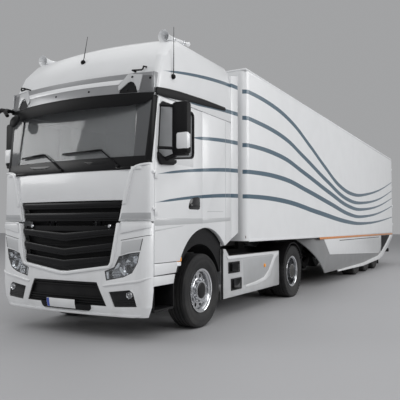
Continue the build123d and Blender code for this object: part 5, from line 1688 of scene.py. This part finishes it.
    def trailer(self, name: str, sign: int, number: int, station: float) -> None:
        """Build one trailer wheel.

        Args:
            name: The side's word.
            sign: The sign of the side's x.
            number: The axle's number, from the front.
            station: The axle's station.
        """
        body = f"trailer_wheel_{name}_{number}"
        x = sign * self.trailer_x
        tyre = self.tyres((x,), station, self.trailer_radius, self.trailer_half)
        self.shop.piece(f"trailer_tread_{name}_{number}", tyre, RUBBER, body, (body,))
        face = self.turned(at(x, station, self.trailer_radius), sign, (
            (-0.15, 0.3), (-0.14, 0.284), (0.14, 0.284), (0.152, 0.302), (0.157, 0.3), (0.15, 0.284),
            (0.13, 0.266), (-0.005, 0.262), (-0.015, 0.2), (-0.005, 0.18), (0.0, 0.15), (0.075, 0.14),
            (0.082, 0.13), (0.085, 0.0)))
        self.nut_ring(face, x, station, self.trailer_radius, sign, 0.166)
        self.shop.piece(f"trailer_rim_{name}_{number}", face, RIM, body)


@dataclass
class TractorSides:
    """Panels between the axles: fairings, steps, guards, tanks and the running gear's finishes."""

    shop: Workshop
    wells: tuple[Row, ...] = ((0.87, 1.27, 0.67, 0.84), (0.96, 1.34, 0.4, 0.58))
    fairing_x: float = 1.2
    well_back: float = 1.08
    well_ribs: int = 6
    rib_pitch: float = 0.017
    step_boxes: tuple[tuple[Row, Row], ...] = (
        ((0.93, -1.18, 0.36), (1.222, -0.72, 0.385)), ((0.93, -1.18, 0.36), (0.95, -0.72, 0.7)),
        ((0.93, -1.18, 0.36), (1.222, -1.16, 0.69)), ((0.93, -0.74, 0.36), (1.222, -0.72, 0.69)),
        ((0.93, -1.19, 0.885), (1.18, -0.7, 0.91)), ((0.93, -1.19, 0.672), (1.18, -0.75, 0.69)))

    def build(self) -> None:
        """Build and dress the sides."""
        shop = self.shop
        shop.softened("side_fairing_panels", "side_fairings", PALE_PAINT_AND_SHADE, "tractor", 0.008)
        shop.dress(BLACK, "mudguards")
        shop.dress(TANK, "fuel_tanks")
        shop.dress(CHASSIS, "chassis_frame", "springs")
        shop.dress(CAST, "front_axle", "knuckle_left", "knuckle_right", "tie_rod", "engine_block",
                   "drive_axle", "fifth_wheel")
        self.steps()
        for name, sign in SIDES:
            self.fairing_trim(name, sign)

    def fairing_trim(self, name: str, sign: int) -> None:
        """Build the strip, swoosh, step wells and marker of one fairing.

        Args:
            name: The side's word.
            sign: The sign of the side's x.
        """
        shop = self.shop
        strip = ((0.652, 0.3), (0.69, 0.3), (0.69, 0.95), (0.7, 1.0), (0.69, 1.056), (0.652, 1.056))
        shop.on_side(f"fairing_edge_{name}", ((strip, 1.19, 0.02, 0.005),), SEAL, "tractor", sign)
        band = ((0.8, 0.935), (2.98, 0.935), (2.98, 0.86), (2.86, 0.885), (2.7, 0.89), (2.4, 0.89),
                (0.86, 0.885))
        hook = ((2.98, 0.9), (2.98, 0.865), (2.803, 0.801), (2.701, 0.688), (2.552, 0.518), (2.361, 0.453),
                (1.915, 0.407), (1.505, 0.405), (1.506, 0.438), (1.916, 0.466), (2.27, 0.505),
                (2.482, 0.612), (2.628, 0.747), (2.754, 0.868), (2.6, 0.895))
        shop.on_side(f"fairing_swoosh_{name}", ((band, self.fairing_x, 0.016, 0.005),
                                                (hook, self.fairing_x, 0.014, 0.005)), WHITE, "tractor",
                     sign)
        panel = ((1.42, 0.44), (1.916, 0.46), (2.27, 0.5), (2.482, 0.6), (2.628, 0.74), (2.73, 0.86),
                 (1.42, 0.86))
        shop.on_side(f"fairing_field_{name}", ((panel, self.fairing_x, 0.0065, 0.002),), GREY_PAINT_AND_SHADE,
                     "tractor", sign)
        wells = Shape()
        for start, end, low, high in self.wells:
            wells.side_frame(((start, low), (end, low), (end, high), (start, high)), 0.018, self.fairing_x,
                             0.012)
            wells.box(at(self.well_back, start, low), at(1.19, end, low + 0.01), 0.003)
            wells.box(at(self.well_back - 0.003, start, low), at(self.well_back + 0.003, end, high), 0.001)
            for index in range(self.well_ribs):
                rib = self.rib_pitch * index
                wells.box(at(1.09 + rib, start + 0.03, low + 0.01),
                          at(1.096 + rib, end - 0.03, low + 0.01 + 0.005))
        shop.piece(f"step_wells_{name}", wells.flipped(sign), BLACK, "tractor")
        marker = Shape()
        marker.lathe(((0.0, 0.034), (0.01, 0.033), (0.018, 0.024), (0.02, 0.0)), at(1.206, 2.31, 0.707),
                     (1, 0, 0), 24)
        shop.piece(f"side_marker_{name}", marker.flipped(sign), AMBER, "tractor")

    def steps(self) -> None:
        """Build the two-tier cheek panels and the black step boxes under the doors."""
        cheeks, boxes, marks, pearls = Shape(), Shape(), Shape(), Shape()
        upper = ((-1.19, 0.8), (-0.70, 0.805), (-0.66, 0.9), (-0.652, 0.942), (-1.19, 0.942))
        lower = ((-1.19, 0.672), (-0.74, 0.672), (-0.705, 0.79), (-1.19, 0.79))
        for low_corner, high_corner in self.step_boxes:
            boxes.side_boxes(low_corner, high_corner, 0.006)
        for sign in SIGNS:
            for outline, x in ((upper, 1.195), (lower, 1.185)):
                cheeks.side_plate(outline[::sign], sign * x, sign * 0.046, 0.008)
            place = at(sign * 1.232, -0.615, 0.94)
            marks.box(place - Vector((0.02, 0.045, -0.0)), place + Vector((0.012, 0.045, 0.055)), 0.006)
            pearls.box(place - Vector((0.02, 0.06, 0.055)), place + Vector((0.012, 0.03, -0.004)), 0.006)
        self.shop.piece("entry_cheeks", cheeks, WHITE, "tractor", ("entry_steps",))
        self.shop.piece("entry_treads", boxes, BLACK, "tractor")
        self.shop.piece("arch_markers", marks, AMBER, "tractor")
        # The reflectors glow through their white lens, a painted light though they are no lamps.
        self.shop.piece("arch_reflectors", pearls, PEARL, "tractor")


@dataclass
class Interior:
    """What shows through the glass: dashboard, hand wheel, seats and bunk."""

    shop: Workshop
    seat_x: float = 0.64
    lean: float = -10.5
    voxel: float = 0.013
    swelling: float = 0.014
    pressure: float = 4.0
    last_frame: int = 20

    def build(self) -> None:
        """Build and dress the inside."""
        self.shop.softened("dashboard_moulding", "dashboard", DASH, "cab", 0.012, 40)
        for name, sign in SIDES:
            self.seat(name, sign)
        bunk = Shape()
        bunk.box(at(-1.14, 0.31, 1.44), at(1.14, 0.84, 1.74), 0.03)
        self.shop.piece("bunk_base", bunk, LINING, "cab")
        self.pad("bunk_mattress", (-1.12, 0.33, 1.745), (1.12, 0.82, 1.885), 0.0, 1.742)

    def seat(self, name: str, sign: int) -> None:
        """Build one seat: pedestal, cushion, back and head rest.

        Args:
            name: The side's word.
            sign: The sign of the side's x.
        """
        x = sign * self.seat_x
        foot = Shape()
        foot.box(at(x - 0.2, -0.38, 1.437), at(x + 0.2, 0.05, 1.72), 0.03)
        self.shop.piece(f"seat_foot_{name}", foot, DASH, "cab", ("seats",) if sign > 0 else ())
        self.pad(f"seat_cushion_{name}", (x - 0.235, -0.43, 1.728), (x + 0.235, 0.04, 1.868), 0.0, 1.723)
        self.pad(f"seat_back_{name}", (x - 0.225, 0.07, 1.87), (x + 0.225, 0.17, 2.36), self.lean, 1.8)
        self.pad(f"head_rest_{name}", (x - 0.135, 0.165, 2.39), (x + 0.135, 0.235, 2.49), self.lean, 1.8)

    def pad(self, name: str, low: Row, high: Row, lean: float, seat: float) -> None:
        """Build one padded piece and swell it.

        Args:
            name: The piece's name.
            low: Lowest corner, as x, station and height, before it leans.
            high: Highest corner.
            lean: Angle in degrees that it leans back by.
            seat: Height that it doesn't sag under.
        """
        shape = Shape()
        shape.box(at(*low), at(*high), 0.03, Matrix.Rotation(math.radians(lean), 4, "X"))
        made = self.shop.piece(name, shape, FABRIC, "cab")
        self.swell(made, seat)
        soft = made.modifiers.new("subdivision", "SUBSURF")
        soft.levels = soft.render_levels = 1

    def swell(self, made: bpy.types.Object, seat: float) -> None:
        """Blow a pad up by cloth simulation and keep the result in its mesh.

        Args:
            made: The pad.
            seat: Height that no point goes under.
        """
        scene = bpy.context.scene
        cells = made.modifiers.new("cells", "REMESH")
        cells.mode = "VOXEL"
        cells.voxel_size = self.voxel
        start = bpy.data.meshes.new_from_object(made.evaluated_get(bpy.context.evaluated_depsgraph_get()))
        made.modifiers.clear()
        made.data = start
        cloth = made.modifiers.new("cloth", "CLOTH")
        cloth.settings.use_pressure = True
        cloth.settings.uniform_pressure_force = self.pressure
        cloth.settings.effector_weights.gravity = 0.0
        cloth.point_cache.frame_end = self.last_frame
        for frame in range(1, self.last_frame + 1):
            scene.frame_set(frame)
        swollen = bpy.data.meshes.new_from_object(made.evaluated_get(bpy.context.evaluated_depsgraph_get()))
        made.modifiers.clear()
        scene.frame_set(1)
        for before, after in zip(start.vertices, swollen.vertices):
            shift = after.co - before.co
            after.co = before.co + shift * min(1.0, self.swelling / max(shift.length, 1e-9))
            after.co.z = max(after.co.z, seat)
        swollen.shade_smooth()
        made.data = swollen


@dataclass
class Trailer:
    """Trailer box with its rails, stripe, skirts, rear doors and tail."""

    shop: Workshop
    front: float = 1.4
    rear: float = 15.0
    half: float = 1.275
    low: float = 1.155
    high: float = 4.0
    corner: float = 0.1
    corner_steps: int = 8
    skin_half: float = 0.015
    door_back: float = 14.98
    bar_places: Pair = (0.3, 0.86)
    guide_heights: Row = (1.25, 1.6, 2.3, 3.0, 3.7, 3.91)

    def build(self) -> None:
        """Build and dress the trailer."""
        self.skin()
        self.rails()
        self.skirts()
        self.rear_doors()
        self.tail()
        self.shop.dress(CHASSIS, "trailer_chassis", "trailer_axles")
        self.shop.dress(BOARD, "trailer_floor")

    def skin(self) -> None:
        """Build the box's sides and front with their rounded corners, and its roof."""
        shape = Shape()
        thick = self.skin_half
        reach = self.half - thick
        start = self.rear - 0.151
        path = [at(reach, start, 0), at(reach, self.front + self.corner, 0)]
        for index in range(1, self.corner_steps + 1):
            angle = math.radians(90 / self.corner_steps * index)
            path.append(at(reach - self.corner * (1 - math.cos(angle)),
                           self.front + thick + self.corner * (1 - math.sin(angle)), 0))
        path += [Vector((-point.x, point.y, 0)) for point in reversed(path)]
        top = self.high - 0.04
        shape.sweep(((-thick, self.low), (thick, self.low), (thick, top), (-thick, top)), path)
        self.shop.piece("box_skin", shape, LINED, "trailer", ("trailer_walls", "trailer_front_wall"))
        self.shop.softened("box_roof", "trailer_roof", ROOF, "trailer", 0.015, 30, 3)
        self.shop.softened("rear_frame", "rear_portal", PORTAL, "trailer", 0.004)

    def rails(self) -> None:
        """Build the edge rails and the stripe along both sides."""
        for name, sign in SIDES:
            rail = Shape()
            rail.box(at(1.258, self.front + 0.1, self.low - 0.012),
                     at(1.28, self.rear - 0.15, self.low + 0.03), 0.004)
            rail.box(at(1.258, self.front + 0.1, self.high - 0.075),
                     at(1.2765, self.rear - 0.06, self.high - 0.035), 0.006)
            self.shop.piece(f"box_rails_{name}", rail.flipped(sign), WHITE, "trailer")
            stripe = ((5.43, 1.096), (5.5, 1.098), (14.84, 1.098), (14.84, 1.148), (5.38, 1.148))
            self.shop.on_side(f"orange_stripe_{name}", ((stripe, 1.274, 0.006, 0.001),), ORANGE, "trailer",
                              sign)

    def skirts(self) -> None:
        """Build the skirts, in grey painted as shade, with their white fields, rims and slots, the slots
        painted black as shadow.
        """
        shop = self.shop
        # The whole skirt is painted dark grey as the shade on its inward-leaning surfaces; the white field
        # covers its upright top.
        shop.softened("skirt_panels", "side_skirts", SKIRT_SHADE, "trailer", 0.006)
        panel = ((5.75, 1.092), (12.58, 1.092), (12.52, 0.72), (12.36, 0.56), (12.1, 0.512), (6.222, 0.724))
        # The slot is a black strip painted as the shadow in the gap under the box's edge, and the dark patch
        # as the shade in the opening behind the field's rear end.
        slot = ((7.1, 1.05), (12.2, 1.05), (12.2, 1.032), (7.15, 1.032))
        dark = ((12.66, 1.085), (14.3, 1.085), (14.05, 1.0), (13.35, 0.77), (12.66, 0.56))
        rim = ((7.0, 0.3), (9.8, 0.32), (12.0, 0.42), (12.5, 0.5), (13.4, 0.76), (14.1, 1.0), (14.25, 1.09),
               (14.86, 1.09), (14.8, 1.0), (13.9, 0.67), (12.8, 0.37), (12.2, 0.295), (9.8, 0.225),
               (7.0, 0.262))
        for name, sign in SIDES:
            shop.on_side(f"skirt_field_{name}", ((panel, 1.268, 0.013, 0.004),), WHITE, "trailer", sign)
            shop.on_side(f"skirt_slot_{name}", ((slot, 1.276, 0.0065, 0.001), (dark, 1.262, 0.015, 0.003)),
                         BLACK, "trailer", sign)
            shop.on_side(f"skirt_rim_{name}", ((rim, 1.238, 0.045, 0.012),), WHITE, "trailer", sign)

    def rear_doors(self) -> None:
        """Build the rear leaves with their bars, handles and seals."""
        for name, sign in SIDES:
            body = f"rear_door_{name}"
            self.shop.softened(f"rear_leaf_{name}", body, WHITE, body, 0.005)
            bars, seals = Shape(), Shape()
            back = self.door_back
            for x in self.bar_places:
                bars.rod(at(x, back - 0.007, 1.22), at(x, back - 0.007, 3.93), 0.0125, None, 16)
                for z in self.guide_heights:
                    bars.box(at(x - 0.035, back - 0.002, z - 0.03), at(x + 0.035, back + 0.006, z + 0.03),
                             0.002)
                bars.box(at(x - 0.01, back - 0.002, 1.75), at(x + 0.3, back + 0.006, 1.79), 0.002)
            self.shop.piece(f"lock_bars_{name}", bars.flipped(sign), BRIGHT, body)
            corners = ((0.012, 1.192), (1.26, 1.192), (1.26, 3.984), (0.012, 3.984))
            seals.frame_plate([at(x, back - 0.003, z) for x, z in corners], 0.03, (0, 0.008, 0))
            self.shop.piece(f"leaf_seal_{name}", seals.flipped(sign), SEAL, body)

    def tail(self) -> None:
        """Build the tail lamps, plate and mud flaps under the box."""
        lamps, ambers, cases, flaps = Shape(), Shape(), Shape(), Shape()
        cases.side_boxes((0.72, 14.775, 0.44), (1.12, 14.79, 0.58), 0.008)
        flaps.side_boxes((0.8, 12.58, 0.12), (1.18, 12.592, 0.95), 0.003)
        for sign in SIGNS:
            for index, group in enumerate((lamps, ambers, lamps)):
                x = sign * (0.79 + 0.13 * index)
                group.lathe(((0.0, 0.056), (0.016, 0.054), (0.022, 0.04), (0.024, 0.0)), at(x, 14.79, 0.51),
                            (0, 1, 0), 28)
        self.shop.piece("tail_lamp_cases", cases, BLACK, "trailer")
        self.shop.piece("tail_lamps", lamps, RED, "trailer")
        self.shop.piece("tail_indicators", ambers, AMBER, "trailer")
        self.shop.piece("mud_flaps", flaps, RUBBER, "trailer")


def main() -> None:
    """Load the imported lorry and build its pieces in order."""
    logging.basicConfig(level=logging.INFO, format="%(name)s: %(message)s")
    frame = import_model()
    shop = Workshop(frame, SurfaceGroups())
    Stage().build()
    for assembly in (Bumper, Grille, Headlamps, CabShell, Doors, RoofFittings, Wheels, TractorSides,
                     Interior, Trailer):
        LOG.info("building %s", assembly.__name__)
        assembly(shop).build()


if __name__ == "__main__":
    main()
